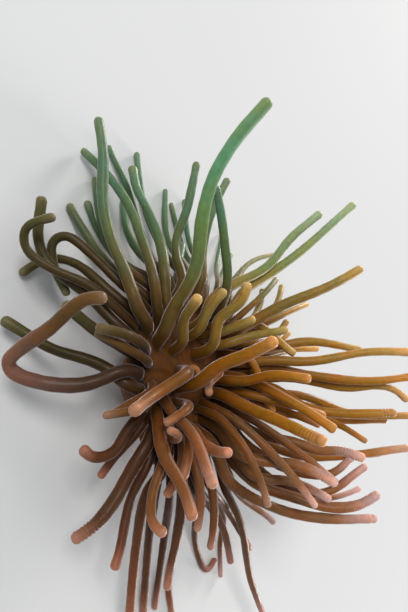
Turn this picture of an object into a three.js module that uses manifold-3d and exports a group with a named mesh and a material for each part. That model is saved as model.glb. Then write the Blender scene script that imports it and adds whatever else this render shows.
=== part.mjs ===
// Magnificent sea anemone (Heteractis magnifica), life size, still.
//
// Millimetres, +Z up. The origin is the middle of the pedal disc, on the floor. The animal stands
// on its pedal disc; a short column carries a wide, wavy oral disc with the mouth in its middle,
// and long blunt tentacles grow from all of the disc. Azimuth 0 on the disc is the front (-Y),
// 90 is -X, 180 is the back and 270 is +X.

import * as THREE from 'three';
import { mergeVertices } from 'three/addons/utils/BufferGeometryUtils.js';
import Module from 'manifold-3d';

const wasm = await Module();
wasm.setup();

// ---------------------------------------------------------------- driving dimensions
const DISC_HEIGHT = 72;         // oral disc above the floor, at its middle
const DISC_RADIUS = 96;         // mean reach of the disc's margin
const MARGIN_SHIFT = 7;         // the disc reaches further to one side
const MARGIN_WAVE = 9;          // three broad lobes of the margin, in reach
const MARGIN_ROLL = 5;          // the same lobes, in height
const LOBE_AZIMUTH = 58;
const LOBES = 3;
const DISC_DIP = 6;             // the disc falls this much towards the mouth
const DISC_THICK = 14;          // flesh of the disc at the mouth
const RIM_THICK = 8;            // and near the margin
const MOUTH_RADIUS = 15;
const LIP_HEIGHT = 5;
const COLUMN_TOP = 47;          // column radius under the disc
const COLUMN_WAIST = 40;
const FOOT_RADIUS = 50;         // pedal disc
const FOOT_HEIGHT = 11;
const SECTORS = 8;
const SECTOR_STEPS = 2;         // facets round each sector
const SECTOR_GAP = 0.25;        // degrees left free on each side of a sector
const SECTOR_ANGLE = 360 / SECTORS;
const ROUND_STEPS = SECTORS * SECTOR_STEPS;
const GAP = 0.3;                // clear gap between neighbouring solids
const CLEARANCE = 3.2;          // least room between two tentacles
const ROOT_LEAN = 46;           // how far the outermost tentacles lean out at the root, in degrees
const ROOT_SWELL = 1.06;        // a tentacle's girth at its root, of its stated girth
const TIP_TAPER = 0.88;         // and at the start of its round tip
const ROOT_DEPTH = 4;           // how far a tentacle's root reaches into the disc's flesh
const ROOT_RISE = 6;            // a tentacle first rises from the disc by this much
const ROOT_FAN = 30;            // and by this much more towards the middle, over the outer ones
const ROOT_INSET = 6;           // and its root stays this far inside the margin

const rad = THREE.MathUtils.degToRad;
const lerp = THREE.MathUtils.lerp;

// ---------------------------------------------------------------- oral disc surface
// How far the margin reaches at an azimuth, and the wave in its height.
const marginReach = (azimuth) => DISC_RADIUS + MARGIN_SHIFT * Math.cos(rad(azimuth - 75))
  + MARGIN_WAVE * Math.cos(LOBES * rad(azimuth - LOBE_AZIMUTH));
const marginRoll = (azimuth) => MARGIN_ROLL * Math.sin(LOBES * rad(azimuth) + 0.6);

// Height of the disc's upper face at an azimuth and radius.
function discTop(azimuth, radius) {
  const out = radius / marginReach(azimuth);
  return DISC_HEIGHT - DISC_DIP * (1 - out) + marginRoll(azimuth) * out * out;
}

const onDisc = (azimuth, radius, height) => new THREE.Vector3(
  -radius * Math.sin(rad(azimuth)), -radius * Math.cos(rad(azimuth)), height);

// The closed outline of the disc's flesh cut at one azimuth; grow swells it on every side.
function discOutline(azimuth, inner, grow) {
  const reach = marginReach(azimuth);
  const roll = marginRoll(azimuth);
  const rows = [
    [inner, discTop(azimuth, inner) + grow],
    [reach * 0.55, discTop(azimuth, reach * 0.55) + grow],
    [reach * 0.93, discTop(azimuth, reach * 0.93) + grow],
    [reach + grow, DISC_HEIGHT + roll - RIM_THICK / 2],
    [reach * 0.93, DISC_HEIGHT + roll - RIM_THICK - grow],
    [COLUMN_TOP + 1, DISC_HEIGHT - DISC_DIP - DISC_THICK - grow],
    [inner, DISC_HEIGHT - DISC_DIP - DISC_THICK - grow],
  ];
  return rows.map(([radius, height]) => onDisc(azimuth, radius, height));
}

// ---------------------------------------------------------------- solids from rings of points
// A closed solid through rings of the same number of points; the ends are points or flat fans.
function loft(rings, startPoint, endPoint) {
  const sides = rings[0].length;
  const points = rings.flat();
  const faces = [];
  for (let ring = 0; ring + 1 < rings.length; ring += 1) {
    for (let side = 0; side < sides; side += 1) {
      const next = (side + 1) % sides;
      const a = ring * sides + side;
      const b = ring * sides + next;
      faces.push(a, b, b + sides, a, b + sides, a + sides);
    }
  }
  const first = points.push(startPoint) - 1;
  const last = points.push(endPoint) - 1;
  const lastRing = (rings.length - 1) * sides;
  for (let side = 0; side < sides; side += 1) {
    const next = (side + 1) % sides;
    faces.push(first, next, side);
    faces.push(last, lastRing + side, lastRing + next);
  }
  return solidOf(points, faces);
}

function solidOf(points, faces) {
  const geometry = new THREE.BufferGeometry();
  geometry.setAttribute('position',
    new THREE.Float32BufferAttribute(points.flatMap((p) => [p.x, p.y, p.z]), 3));
  geometry.setIndex(faces);
  return manifoldOf(geometry);
}

function manifoldOf(geometry) {
  const bare = geometry.clone();
  bare.deleteAttribute('normal');
  bare.deleteAttribute('uv');
  const merged = mergeVertices(bare, 1e-4);
  const solid = new wasm.Manifold(new wasm.Mesh({
    numProp: 3,
    vertProperties: new Float32Array(merged.attributes.position.array),
    triVerts: new Uint32Array(merged.index.array),
  }));
  return solid;
}

function geometryOf(solid) {
  const mesh = solid.getMesh();
  const geometry = new THREE.BufferGeometry();
  geometry.setAttribute('position', new THREE.BufferAttribute(mesh.vertProperties, 3));
  geometry.setIndex(new THREE.BufferAttribute(mesh.triVerts, 1));
  return geometry;
}

const largest = (solid) => solid.decompose().reduce((a, b) => (a.volume() > b.volume() ? a : b));

const middleOf = (points) => points.reduce((sum, p) => sum.add(p), new THREE.Vector3())
  .divideScalar(points.length);

// The disc's flesh between two azimuths.
function discFlesh(from, to, steps, inner, grow) {
  const rings = [];
  for (let step = 0; step <= steps; step += 1) {
    rings.push(discOutline(lerp(to, from, step / steps), inner, grow));
  }
  return loft(rings, middleOf(rings[0]), middleOf(rings[steps]));
}

// The whole disc, swollen by the gap: it cuts the roots that are solids of their own.
function discCutter() {
  const outlines = [];
  for (let step = 0; step < ROUND_STEPS; step += 1) {
    outlines.push(discOutline(-step * 360 / ROUND_STEPS, 1, GAP));
  }
  const rings = outlines[0].map((_, row) => outlines.map((outline) => outline[row])).reverse();
  return loft(rings, middleOf(rings[0]), middleOf(rings.at(-1)));
}

// ---------------------------------------------------------------- the sheet that courses are laid on
// A tentacle's course is laid out on a sheet through the disc's middle, square to the line of
// sight from EYE, which stands in front of the animal and above it. On the sheet, heading 0 runs
// up the animal's axis and 90 runs towards -X. "near" then slides a point along its own line of
// sight, towards EYE by that many millimetres, so that the course keeps its shape from there.
const EYE_RISE = 42;            // degrees above the level of the disc
const EYE_DISTANCE = 500;
const SHEET_TURN = 8;           // the animal's axis on the sheet, in degrees from heading 0
const EYE_OVER = 79.3;          // EYE stands this far towards heading 90 of the disc's middle
const EYE_ALONG = 8.8;          // and this far towards heading 0

const sight = new THREE.Vector3(0, Math.cos(rad(EYE_RISE)), -Math.sin(rad(EYE_RISE)));
const axisUp = new THREE.Vector3(0, Math.sin(rad(EYE_RISE)), Math.cos(rad(EYE_RISE)));
const axisOver = new THREE.Vector3(-1, 0, 0);
const sheetX = axisUp.clone().multiplyScalar(Math.cos(rad(SHEET_TURN)))
  .addScaledVector(axisOver, -Math.sin(rad(SHEET_TURN)));
const sheetY = axisUp.clone().multiplyScalar(Math.sin(rad(SHEET_TURN)))
  .addScaledVector(axisOver, Math.cos(rad(SHEET_TURN)));
const eye = new THREE.Vector3(0, 0, DISC_HEIGHT)
  .addScaledVector(sight, -EYE_DISTANCE)
  .addScaledVector(sheetX, EYE_ALONG)
  .addScaledVector(sheetY, EYE_OVER);

function toSheet(point) {
  const offset = point.clone().sub(eye);
  const depth = offset.dot(sight);
  const scale = EYE_DISTANCE / depth;
  return { x: offset.dot(sheetX) * scale, y: offset.dot(sheetY) * scale, near: EYE_DISTANCE - depth };
}

function fromSheet(x, y, near) {
  const depth = EYE_DISTANCE - near;
  const scale = depth / EYE_DISTANCE;
  return eye.clone().addScaledVector(sight, depth)
    .addScaledVector(sheetX, x * scale).addScaledVector(sheetY, y * scale);
}

// ---------------------------------------------------------------- tentacles laid by hand
// Each row: root azimuth, root radius, girth, near at the tip, then legs of [heading, run].
// The rows under OWN_SOLIDS are the long ones in front, each a part in its own right, with the
// number of lengths that it is parted into; the others grow as one with their part of the disc.
const OWN_SOLIDS = [
  // left: a long loop that folds back on itself, an arch, and others that hang to the floor
  { name: 'tentacle_loop', lengths: 3, row: [26, 95, 12.8, 150,
    [-139, 15], [-155, 35], [-177, 41], [175, 38], [140, 19], [55, 16], [36, 47], [40, 46],
    [8, 17]] },
  { name: 'tentacle_arch', lengths: 2, row: [50, 101, 9.5, 70,
    [126, 26], [130, 28], [132, 27], [138, 30], [145, 17], [-146, 12], [-95, 13], [-79, 23],
    [-63, 27]] },
  { name: 'tentacle_floor', lengths: 2, row: [17, 86, 11.5, 90,
    [126, 25], [169, 22], [178, 55], [151, 23], [152, 35]] },
  { name: 'tentacle_left_1', lengths: 2, row: [39, 104, 10.5, 75,
    [130, 32], [140, 30], [152, 35], [139, 26], [111, 22], [85, 24], [86, 18]] },
  // upper side
  { name: 'tentacle_tall', lengths: 2, row: [44, 80, 13.5, 90,
    [67, 22], [48, 28], [56, 30], [72, 31], [82, 41], [74, 36], [61, 45], [50, 57]] },
  { name: 'tentacle_upper_1', lengths: 2, row: [47, 108, 12, 30,
    [102, 27], [111, 31], [110, 33], [101, 34], [90, 30], [90, 30], [98, 31]] },
  { name: 'tentacle_upper_2', lengths: 2, row: [57, 97, 10.5, 0,
    [90, 28], [100, 32], [104, 32], [111, 31], [126, 41], [136, 29]] },
  { name: 'tentacle_upper_3', lengths: 2, row: [61, 85, 11, -20,
    [83, 26], [87, 27], [95, 25], [107, 26], [113, 23], [117, 20], [100, 18]] },
  { name: 'tentacle_upper_4', lengths: 2, row: [70, 92, 10.5, -30,
    [87, 26], [85, 25], [65, 27], [67, 27], [75, 26], [78, 26]] },
  // right side, up the animal's axis
  { name: 'tentacle_right_1', lengths: 2, row: [100, 48, 11.5, -80,
    [66, 38], [34, 25], [29, 28], [30, 24], [50, 44], [40, 36]] },
  { name: 'tentacle_right_2', lengths: 2, row: [118, 58, 11.5, -95,
    [58, 35], [32, 39], [32, 43], [37, 22], [42, 40], [40, 34]] },
  { name: 'tentacle_right_3', lengths: 1, row: [135, 52, 12.5, -30,
    [24, 37], [29, 48], [20, 26], [24, 48], [31, 19]] },
  { name: 'tentacle_right_4', lengths: 1, row: [355, 30, 13, 110,
    [27, 37], [22, 30], [22, 30], [28, 19]] },
  { name: 'tentacle_right_5', lengths: 2, row: [178, 56, 11, -50,
    [10, 39], [-1, 51], [9, 55], [5, 28], [-2, 33]] },
  { name: 'tentacle_right_6', lengths: 2, row: [192, 66, 11, -70,
    [4, 51], [-7, 36], [-14, 23], [-9, 27], [5, 28], [-16, 19], [-42, 13]] },
  { name: 'tentacle_right_7', lengths: 2, row: [205, 58, 11, -20,
    [7, 44], [-31, 28], [-27, 27], [-8, 41], [1, 50]] },
  { name: 'tentacle_right_8', lengths: 1, row: [184, 48, 11.5, 20,
    [-8, 30], [-29, 20], [-32, 43], [-30, 22], [-35, 23]] },
  { name: 'tentacle_right_9', lengths: 1, row: [235, 22, 13, 80,
    [-18, 31], [-22, 30], [-24, 30], [-26, 30], [-24, 19]] },
  // lower right
  { name: 'tentacle_lower_1', lengths: 2, row: [250, 56, 11.5, 20,
    [-23, 45], [-7, 28], [-12, 27], [-18, 28], [3, 20], [-19, 20]] },
  { name: 'tentacle_lower_2', lengths: 1, row: [265, 66, 12, 30,
    [-59, 32], [-6, 40], [2, 28], [-16, 29], [-28, 26]] },
  { name: 'tentacle_lower_3', lengths: 2, row: [268, 84, 12.5, 0,
    [-55, 46], [-7, 28], [-11, 28], [-18, 29], [-11, 28], [7, 27], [29, 20]] },
  { name: 'tentacle_lower_4', lengths: 2, row: [276, 88, 11.5, -10,
    [-54, 43], [-20, 29], [-18, 29], [-12, 27], [-8, 38], [0, 42]] },
  // underside
  { name: 'tentacle_under_1', lengths: 1, row: [346, 60, 10.5, 130,
    [-42, 13], [-45, 25], [-57, 18], [-68, 26], [-66, 24]] },
  { name: 'tentacle_under_2', lengths: 1, row: [325, 76, 12, 110,
    [-76, 23], [-58, 29], [-59, 23], [-75, 22]] },
  { name: 'tentacle_under_3', lengths: 2, row: [338, 84, 10.5, 110,
    [208, 21], [243, 20], [203, 17], [184, 14], [135, 12]] },
  { name: 'tentacle_under_4', lengths: 1, row: [326, 90, 13.5, 100,
    [244, 31], [240, 33], [231, 23], [229, 23], [213, 18]] },
  { name: 'tentacle_under_5', lengths: 2, row: [314, 90, 11, 60,
    [242, 30], [260, 38], [263, 60], [265, 60]] },
];

const JOINED_ROWS = [
  // left
  [31, 100, 12, 90, [143, 17], [152, 19], [148, 23], [142, 20]],
  [47, 94, 10, 60, [134, 33], [138, 31], [141, 30], [156, 24], [-170, 20], [-148, 25]],
  [41, 90, 9, 100, [120, 32], [141, 30], [152, 33], [162, 36], [144, 28], [110, 19], [53, 15], [18, 24]],
  [20, 25, 12.5, 115, [226, 32], [215, 28]],
  [8, 70, 9, 40, [212, 27], [216, 20]],
  // upper side
  [78, 106, 9.5, -110, [123, 33], [109, 41], [102, 31], [111, 19], [117, 19], [116, 20]],
  [92, 104, 9.5, -130, [123, 35], [114, 41], [106, 41], [96, 34]],
  [62, 106, 9.5, -60, [131, 29], [127, 33], [113, 33], [99, 28], [100, 20]],
  [55, 108, 10, -10, [128, 25], [132, 29], [126, 26], [124, 24], [122, 27]],
  [68, 100, 9, -95, [133, 27], [136, 35], [124, 28], [117, 22], [110, 15]],
  [75, 78, 10.5, -50, [113, 38], [129, 34], [115, 30], [95, 31]],
  [96, 90, 8.5, -180, [111, 54], [100, 39], [90, 25]],
  [108, 86, 8.5, -190, [103, 65], [96, 46]],
  [102, 82, 7.5, -210, [102, 75], [107, 36]],
  [92, 86, 10, -40, [75, 43], [71, 40], [71, 36], [61, 20]],
  [118, 88, 7.5, -190, [83, 42], [81, 37]],
  [124, 84, 7.5, -200, [80, 38], [69, 25]],
  [86, 82, 9.5, -100, [94, 35], [80, 33]],
  // right side
  [120, 72, 7.5, -180, [56, 53], [50, 24], [15, 30]],
  [128, 80, 9, -130, [72, 36], [51, 25]],
  [150, 78, 9.5, -110, [37, 37], [63, 12], [85, 13]],
  [96, 34, 12, 20, [51, 38], [34, 29], [42, 13], [79, 11]],
  [50, 45, 11.5, 70, [68, 26], [61, 20], [60, 18]],
  [160, 72, 10, -90, [-1, 43], [49, 12], [57, 18]],
  [140, 76, 10, -60, [21, 21], [-34, 21], [-38, 20], [-31, 23]],
  [168, 78, 8, -120, [2, 37], [28, 16], [48, 13]],
  [172, 66, 11, -70, [15, 39], [16, 20], [10, 25], [-7, 28], [-10, 32]],
  [178, 76, 8, -120, [15, 56], [2, 34]],
  [186, 60, 11, -60, [19, 36], [-14, 32], [-12, 26], [-4, 49], [-9, 28], [8, 33]],
  [190, 38, 11.5, 30, [-8, 23], [9, 20], [10, 19], [-7, 38]],
  [200, 78, 10.5, -90, [-6, 68], [-22, 59], [-2, 70]],
  [214, 80, 9.5, -110, [-2, 57], [-18, 52], [-1, 56]],
  [206, 74, 8.5, 0, [-19, 64], [-23, 34]],
  [220, 74, 9, -80, [-7, 63], [-10, 50], [-27, 17], [-33, 22]],
  [196, 86, 9, -140, [-20, 67], [-3, 38]],
  [158, 50, 9, -20, [5, 28], [-51, 16], [-78, 21], [-71, 20], [-51, 14]],
  [170, 30, 9, 50, [-90, 13], [-99, 13]],
  [110, 40, 10, 0, [23, 31], [24, 33]],
  [84, 45, 10.5, 10, [48, 33], [52, 31]],
  [128, 36, 10, -10, [18, 40], [8, 30], [14, 20]],
  // lower right
  [236, 68, 11, -70, [-35, 48], [-18, 44], [1, 50], [8, 33], [6, 34]],
  [230, 76, 10.5, -110, [-27, 74], [-8, 55], [3, 41]],
  [246, 76, 10.5, -40, [-34, 48], [-23, 45], [-3, 36], [38, 18], [42, 16]],
  [254, 80, 10.5, -35, [-45, 59], [-19, 47], [1, 28], [35, 27], [31, 23]],
  [262, 78, 10.5, 0, [-50, 52], [-9, 20], [6, 22], [-16, 29], [-30, 22]],
  [272, 94, 9, -90, [-46, 52], [-32, 27], [-45, 16]],
  [259, 90, 8.5, -100, [-28, 88], [-9, 50], [21, 25]],
  [292, 56, 11.5, 75, [-66, 12], [-45, 17], [-18, 14], [-1, 9]],
  // underside
  [330, 66, 8, 85, [-99, 12], [-53, 11], [-12, 11], [39, 10], [104, 8], [165, 9]],
  [332, 88, 9, 70, [211, 30], [227, 18], [236, 16]],
  [318, 92, 10, 90, [243, 33], [257, 44], [254, 31], [250, 22]],
  [310, 92, 10, 0, [259, 47], [262, 50], [265, 74]],
  [322, 76, 9.5, 110, [261, 56], [267, 38], [-42, 16]],
  [306, 84, 9.5, 60, [-81, 42], [-88, 37], [256, 35], [264, 31]],
  [304, 96, 9, -30, [268, 60], [261, 50], [262, 44]],
  [297, 94, 9, -80, [268, 81], [262, 55], [-83, 27]],
  [284, 92, 9, -60, [-52, 34], [-49, 22], [-61, 25], [-61, 28]],
  [280, 96, 9, -90, [-49, 38], [-64, 31], [-73, 40], [-76, 45], [-67, 23]],
  [290, 92, 9.5, -50, [-53, 33], [-66, 24], [-61, 23], [-77, 19], [-79, 17]],
  [286, 98, 8, -160, [-56, 63], [262, 30], [270, 30]],
  [294, 98, 8.5, -120, [-73, 53], [-90, 27], [-71, 23], [-49, 12], [53, 11]],
];

// ---------------------------------------------------------------- tentacles that fill the rest
// They stand on the disc in the pattern of a sunflower's seeds wherever there is room.
const FILL_SEEDS = 120;
const FILL_TURN = 137.508;
const FILL_INNER = 24;
const FILL_ROOM = 12.5;         // least distance from any other root
const FILL_GIRTH = [8.5, 10.5];
const FILL_STEPS = 8;
const FILL_LONG = [95, 150];
const FILL_FRONT_LONG = 52;     // shorter towards the front, where they would hide the rest
const FILL_FRONT = 350;
const FILL_TWIST = 30;          // spread of their turn round the axis, in degrees
// Azimuths and radii where the laid ones stand in the open, with nothing between them.
const FILL_BARE = [
  { from: 28, to: 102, inner: 0, outer: 84 },
  { from: 330, to: 360, inner: 0, outer: 62 },
  { from: 0, to: 28, inner: 0, outer: 62 },
  { from: 225, to: 278, inner: 48, outer: 120 },
];

// A repeatable spread of numbers from 0 to 1.
function spread(seed) {
  const wave = Math.sin(seed * 127.1 + 311.7) * 43758.5453;
  return wave - Math.floor(wave);
}

// ---------------------------------------------------------------- places of the roots
const ROOT_ROUNDS = 120;
const CORNER_ROOM = 1.12;       // the corners of a faceted tentacle, of its radius

const placeOf = ([azimuth, radius, girth], joined) => ({
  azimuth, radius, girth, joined, sector: Math.floor(azimuth / SECTOR_ANGLE),
});

// Moves the roots apart until each has its room. Those that grow as one with a sector of the
// disc stay inside that sector.
function easeRoots(places) {
  const spots = places.map(({ azimuth, radius }) => onDisc(azimuth, radius, 0));
  for (let round = 0; round < ROOT_ROUNDS; round += 1) {
    spots.forEach((spot, index) => {
      for (let other = 0; other < index; other += 1) {
        const away = spot.clone().sub(spots[other]);
        const room = (places[index].girth + places[other].girth) / 2 * ROOT_SWELL + CLEARANCE;
        if (away.length() >= room) continue;
        away.setLength((room - away.length()) / 2);
        spot.add(away);
        spots[other].sub(away);
      }
    });
    spots.forEach((spot, index) => holdRoot(places[index], spot));
  }
}

function holdRoot(place, spot) {
  const half = place.girth / 2 * ROOT_SWELL * CORNER_ROOM + GAP;
  let azimuth = THREE.MathUtils.euclideanModulo(
    THREE.MathUtils.radToDeg(Math.atan2(-spot.x, -spot.y)), 360);
  const radius = THREE.MathUtils.clamp(Math.hypot(spot.x, spot.y),
    MOUTH_RADIUS + half + 1, marginReach(azimuth) - ROOT_INSET);
  if (place.joined) {
    const middle = (place.sector + 0.5) * SECTOR_ANGLE;
    const off = THREE.MathUtils.euclideanModulo(azimuth - middle + 180, 360) - 180;
    const most = SECTOR_ANGLE / 2 - THREE.MathUtils.radToDeg(Math.asin(half / radius)) - SECTOR_GAP;
    azimuth = middle + THREE.MathUtils.clamp(off, -most, most);
  }
  spot.copy(onDisc(azimuth, radius, 0));
  place.azimuth = azimuth;
  place.radius = radius;
}

function fillers(places) {
  const spots = places.map(({ azimuth, radius }) => onDisc(azimuth, radius, 0));
  const found = [];
  for (let seed = 0; seed < FILL_SEEDS; seed += 1) {
    const azimuth = (seed * FILL_TURN) % 360;
    const share = Math.sqrt((seed + 0.5) / FILL_SEEDS);
    const radius = lerp(FILL_INNER, marginReach(azimuth) - ROOT_INSET, share);
    const spot = onDisc(azimuth, radius, 0);
    const bare = FILL_BARE.some(({ from, to, inner, outer }) => azimuth >= from && azimuth < to
      && radius >= inner && radius < outer);
    if (bare || spots.some((other) => other.distanceTo(spot) < FILL_ROOM)) continue;
    spots.push(spot);
    const girth = lerp(...FILL_GIRTH, spread(seed + 0.13));
    found.push({ ...placeOf([azimuth, radius, girth], true), seed });
  }
  return found;
}

// ---------------------------------------------------------------- growing the centrelines
const STEP = 6;                 // distance between the points of a centreline
const ROOT_JOIN = 0.6;          // share of a tentacle that bends to reach its root

// Spaced points along a smooth line through the given points, the first inside the disc's flesh.
function centreline(points) {
  const curve = new THREE.CatmullRomCurve3(points, false, 'centripetal');
  curve.arcLengthDivisions = 400;
  const count = Math.max(6, Math.round(curve.getLength() / STEP));
  return curve.getSpacedPoints(count);
}

// The first two points of a tentacle: in the disc's flesh, and above it. Near the margin a
// tentacle leans outwards from the start.
function rootPoints({ azimuth, radius }) {
  const lean = rad(ROOT_LEAN * THREE.MathUtils.smoothstep(radius / marginReach(azimuth), 0.5, 1));
  const outwards = onDisc(azimuth, Math.sin(lean), Math.cos(lean));
  const surface = onDisc(azimuth, radius, discTop(azimuth, radius));
  const rise = ROOT_RISE + ROOT_FAN * (1 - radius / marginReach(azimuth));
  return [
    surface.clone().addScaledVector(outwards, -ROOT_DEPTH),
    surface.clone().addScaledVector(outwards, rise),
  ];
}

// The course of a row, from where its root has come to stand: it runs into the course laid from
// the stated root by ROOT_JOIN of its length.
function laidTentacle(place, [azimuth, radius, , nearTip, ...legs]) {
  const stated = toSheet(onDisc(azimuth, radius, discTop(azimuth, radius)));
  const start = toSheet(onDisc(place.azimuth, place.radius, discTop(place.azimuth, place.radius)));
  const whole = legs.reduce((sum, [, run]) => sum + run, 0);
  let { x, y } = stated;
  let run = 0;
  const points = rootPoints(place);
  for (const [heading, length] of legs) {
    x += length * Math.cos(rad(heading));
    y += length * Math.sin(rad(heading));
    run += length;
    const apart = 1 - THREE.MathUtils.smoothstep(run / whole, 0, ROOT_JOIN);
    points.push(fromSheet(x + (start.x - stated.x) * apart, y + (start.y - stated.y) * apart,
      lerp(start.near, nearTip, run / whole)));
  }
  return { ...place, laid: true, line: centreline(points) };
}

function fillTentacle(place) {
  const { azimuth, radius, seed } = place;
  const out = radius / marginReach(azimuth);
  const facing = Math.max(0, Math.cos(rad(azimuth - FILL_FRONT)));
  const long = lerp(lerp(...FILL_LONG, spread(seed)), FILL_FRONT_LONG, facing);
  const twist = FILL_TWIST * (spread(seed + 0.37) - 0.5);
  const points = rootPoints(place);
  for (let step = 1; step <= FILL_STEPS; step += 1) {
    const along = step / FILL_STEPS;
    const lean = rad(lerp(12, 78, out ** 1.4) + (18 + 26 * spread(seed + 0.71) + 40 * facing) * along);
    const turn = azimuth + twist * (1 + along);
    const heading = onDisc(turn, Math.sin(lean), Math.cos(lean));
    points.push(points.at(-1).clone().addScaledVector(heading, long / FILL_STEPS));
  }
  return { ...place, laid: false, line: centreline(points) };
}

// ---------------------------------------------------------------- room for each tentacle
const EASE_ROUNDS = 300;
const EASE_SHARE = 0.5;
const EASE_MOST = 4;            // furthest that a point moves in one round
const EASE_SMOOTH = 0.35;       // how far a shift is evened out along the line in each round
const FREE_ROOT = 2;            // points at the root that stay put
const CELL = 18;                // side of the cells that near points are looked up in
const CELL_SPAN = 1024;

// Radius of the tentacle at a point of its line: full at the root, slimmer to the tip.
function girthAt(tentacle, along) {
  return tentacle.girth / 2 * lerp(ROOT_SWELL, TIP_TAPER, along ** 1.3);
}

// Slides tentacles apart where they touch. A laid tentacle slides mostly along the line of
// sight, and freely only near its root; any other one moves freely. All stay over the floor and
// clear of the disc. A shift is spread along the line, so that the course keeps its shape.
function easeApart(tentacles) {
  const beads = tentacles.flatMap((tentacle, owner) => {
    const last = tentacle.line.length - 1;
    return tentacle.line.map((point, index) => ({
      tentacle, owner, index, point, along: index / last, radius: girthAt(tentacle, index / last),
      move: new THREE.Vector3(), shift: new THREE.Vector3(), rest: point.clone(),
    }));
  });
  const lines = tentacles.map((_, owner) => beads.filter((bead) => bead.owner === owner));
  for (let round = 0; round < EASE_ROUNDS; round += 1) {
    const cells = new Map();
    beads.forEach((bead) => {
      const key = cellOf(bead.point);
      if (!cells.has(key)) cells.set(key, []);
      cells.get(key).push(bead);
    });
    beads.forEach((bead) => pushFromNear(bead, cells));
    lines.forEach(moveLine);
  }
}

const cellOf = ({ x, y, z }) => (Math.floor(x / CELL) * CELL_SPAN + Math.floor(y / CELL)) * CELL_SPAN
  + Math.floor(z / CELL);

function pushFromNear(bead, cells) {
  bead.move.set(0, 0, 0);
  if (bead.index < FREE_ROOT) return;
  const key = cellOf(bead.point);
  for (let i = -1; i <= 1; i += 1) {
    for (let j = -1; j <= 1; j += 1) {
      for (let k = -1; k <= 1; k += 1) {
        const near = cells.get(key + (i * CELL_SPAN + j) * CELL_SPAN + k) ?? [];
        near.forEach((other) => pushApart(bead, other));
      }
    }
  }
}

function pushApart(bead, other) {
  if (other.owner === bead.owner) return;
  const away = bead.point.clone().sub(other.point);
  const distance = away.length();
  const room = bead.radius + other.radius + CLEARANCE;
  if (distance >= room) return;
  const push = (room - distance) * EASE_SHARE;
  const { laid } = bead.tentacle;
  const free = laid ? lerp(1, 0.1, THREE.MathUtils.smoothstep(bead.along, 0.15, 0.6)) : 1;
  bead.move.addScaledVector(away, free * push / distance);
  if (laid) {
    const line = eye.clone().sub(bead.point).normalize();
    bead.move.addScaledVector(line, (1 - free) * push * (away.dot(line) >= 0 ? 1 : -1));
  }
}

function moveLine(line) {
  line.forEach((bead) => {
    if (bead.index < FREE_ROOT) return;
    bead.shift.add(bead.move.clampLength(0, EASE_MOST));
    bead.point.copy(bead.rest).add(bead.shift);
    liftClear(bead);
    bead.shift.copy(bead.point).sub(bead.rest);
  });
  const evened = line.map(({ shift }, index) => shift.clone().lerp(
    line[Math.max(0, index - 1)].shift.clone()
      .lerp(line[Math.min(line.length - 1, index + 1)].shift, 0.5), EASE_SMOOTH));
  line.forEach((bead, index) => {
    if (bead.index < FREE_ROOT) return;
    bead.shift.copy(evened[index]);
    bead.point.copy(bead.rest).add(bead.shift);
  });
}

// Lifts a point off the disc's upper face and off the floor.
function liftClear({ tentacle, index, point, radius }) {
  const azimuth = THREE.MathUtils.radToDeg(Math.atan2(-point.x, -point.y));
  const out = Math.hypot(point.x, point.y);
  const reach = marginReach(azimuth);
  const top = discTop(azimuth, Math.min(out, reach));
  const low = top + radius + 1;
  if (index > FREE_ROOT && out < reach + radius && point.z > top - DISC_THICK && point.z < low) {
    raise(tentacle, point, low);
  }
  if (point.z < radius) raise(tentacle, point, radius);
}

// Brings a point up to a height: a laid one by sliding it towards EYE, any other straight up.
function raise(tentacle, point, height) {
  const missing = (height - point.z) * 0.5;
  if (tentacle.laid) {
    const line = eye.clone().sub(point).normalize();
    point.addScaledVector(line, missing / line.z);
  } else {
    point.z += missing;
  }
}

// ---------------------------------------------------------------- tentacle solids
const OWN_SIDES = 5;            // facets round a tentacle
const JOINED_SIDES = 4;
const OWN_SLACK = 1.6;          // how far the facets may run beside a smooth line
const JOINED_SLACK = 2.6;

// Where cross-sections are needed for the facets to keep to a line within the slack.
function ringPlaces(line, slack, from = 0, to = line.length - 1) {
  const chord = new THREE.Line3(line[from], line[to]);
  let worst = slack;
  let at = from;
  for (let index = from + 1; index < to; index += 1) {
    const off = chord.closestPointToPoint(line[index], true, new THREE.Vector3())
      .distanceTo(line[index]);
    if (off > worst) {
      worst = off;
      at = index;
    }
  }
  if (at === from) return [from, to];
  return [...ringPlaces(line, slack, from, at), ...ringPlaces(line, slack, at, to).slice(1)];
}

// Rings square to the line, each turned as little as possible from the one before. What would go
// under the floor is flat on it.
function ringsAlong(tentacle, sides, slack, grow) {
  const { line } = tentacle;
  const places = ringPlaces(line, slack);
  const last = line.length - 1;
  const tangents = places.map((place) => line[Math.min(last, place + 1)].clone()
    .sub(line[Math.max(0, place - 1)]).normalize());
  const side = new THREE.Vector3(0, 0, 1).cross(tangents[0]);
  if (side.length() < 0.1) side.set(1, 0, 0);
  side.normalize();
  return places.map((place, index) => {
    const tangent = tangents[index];
    side.addScaledVector(tangent, -side.dot(tangent)).normalize();
    const other = tangent.clone().cross(side);
    const size = girthAt(tentacle, place / last) * CORNER_ROOM + grow;
    const ring = [];
    for (let corners = 0; corners < sides; corners += 1) {
      const angle = corners / sides * Math.PI * 2;
      const point = line[place].clone().addScaledVector(side, Math.cos(angle) * size)
        .addScaledVector(other, Math.sin(angle) * size);
      point.z = Math.max(point.z, 0);
      ring.push(point);
    }
    return { ring, centre: line[place].clone(), tangent: tangent.clone(), size };
  });
}

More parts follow.
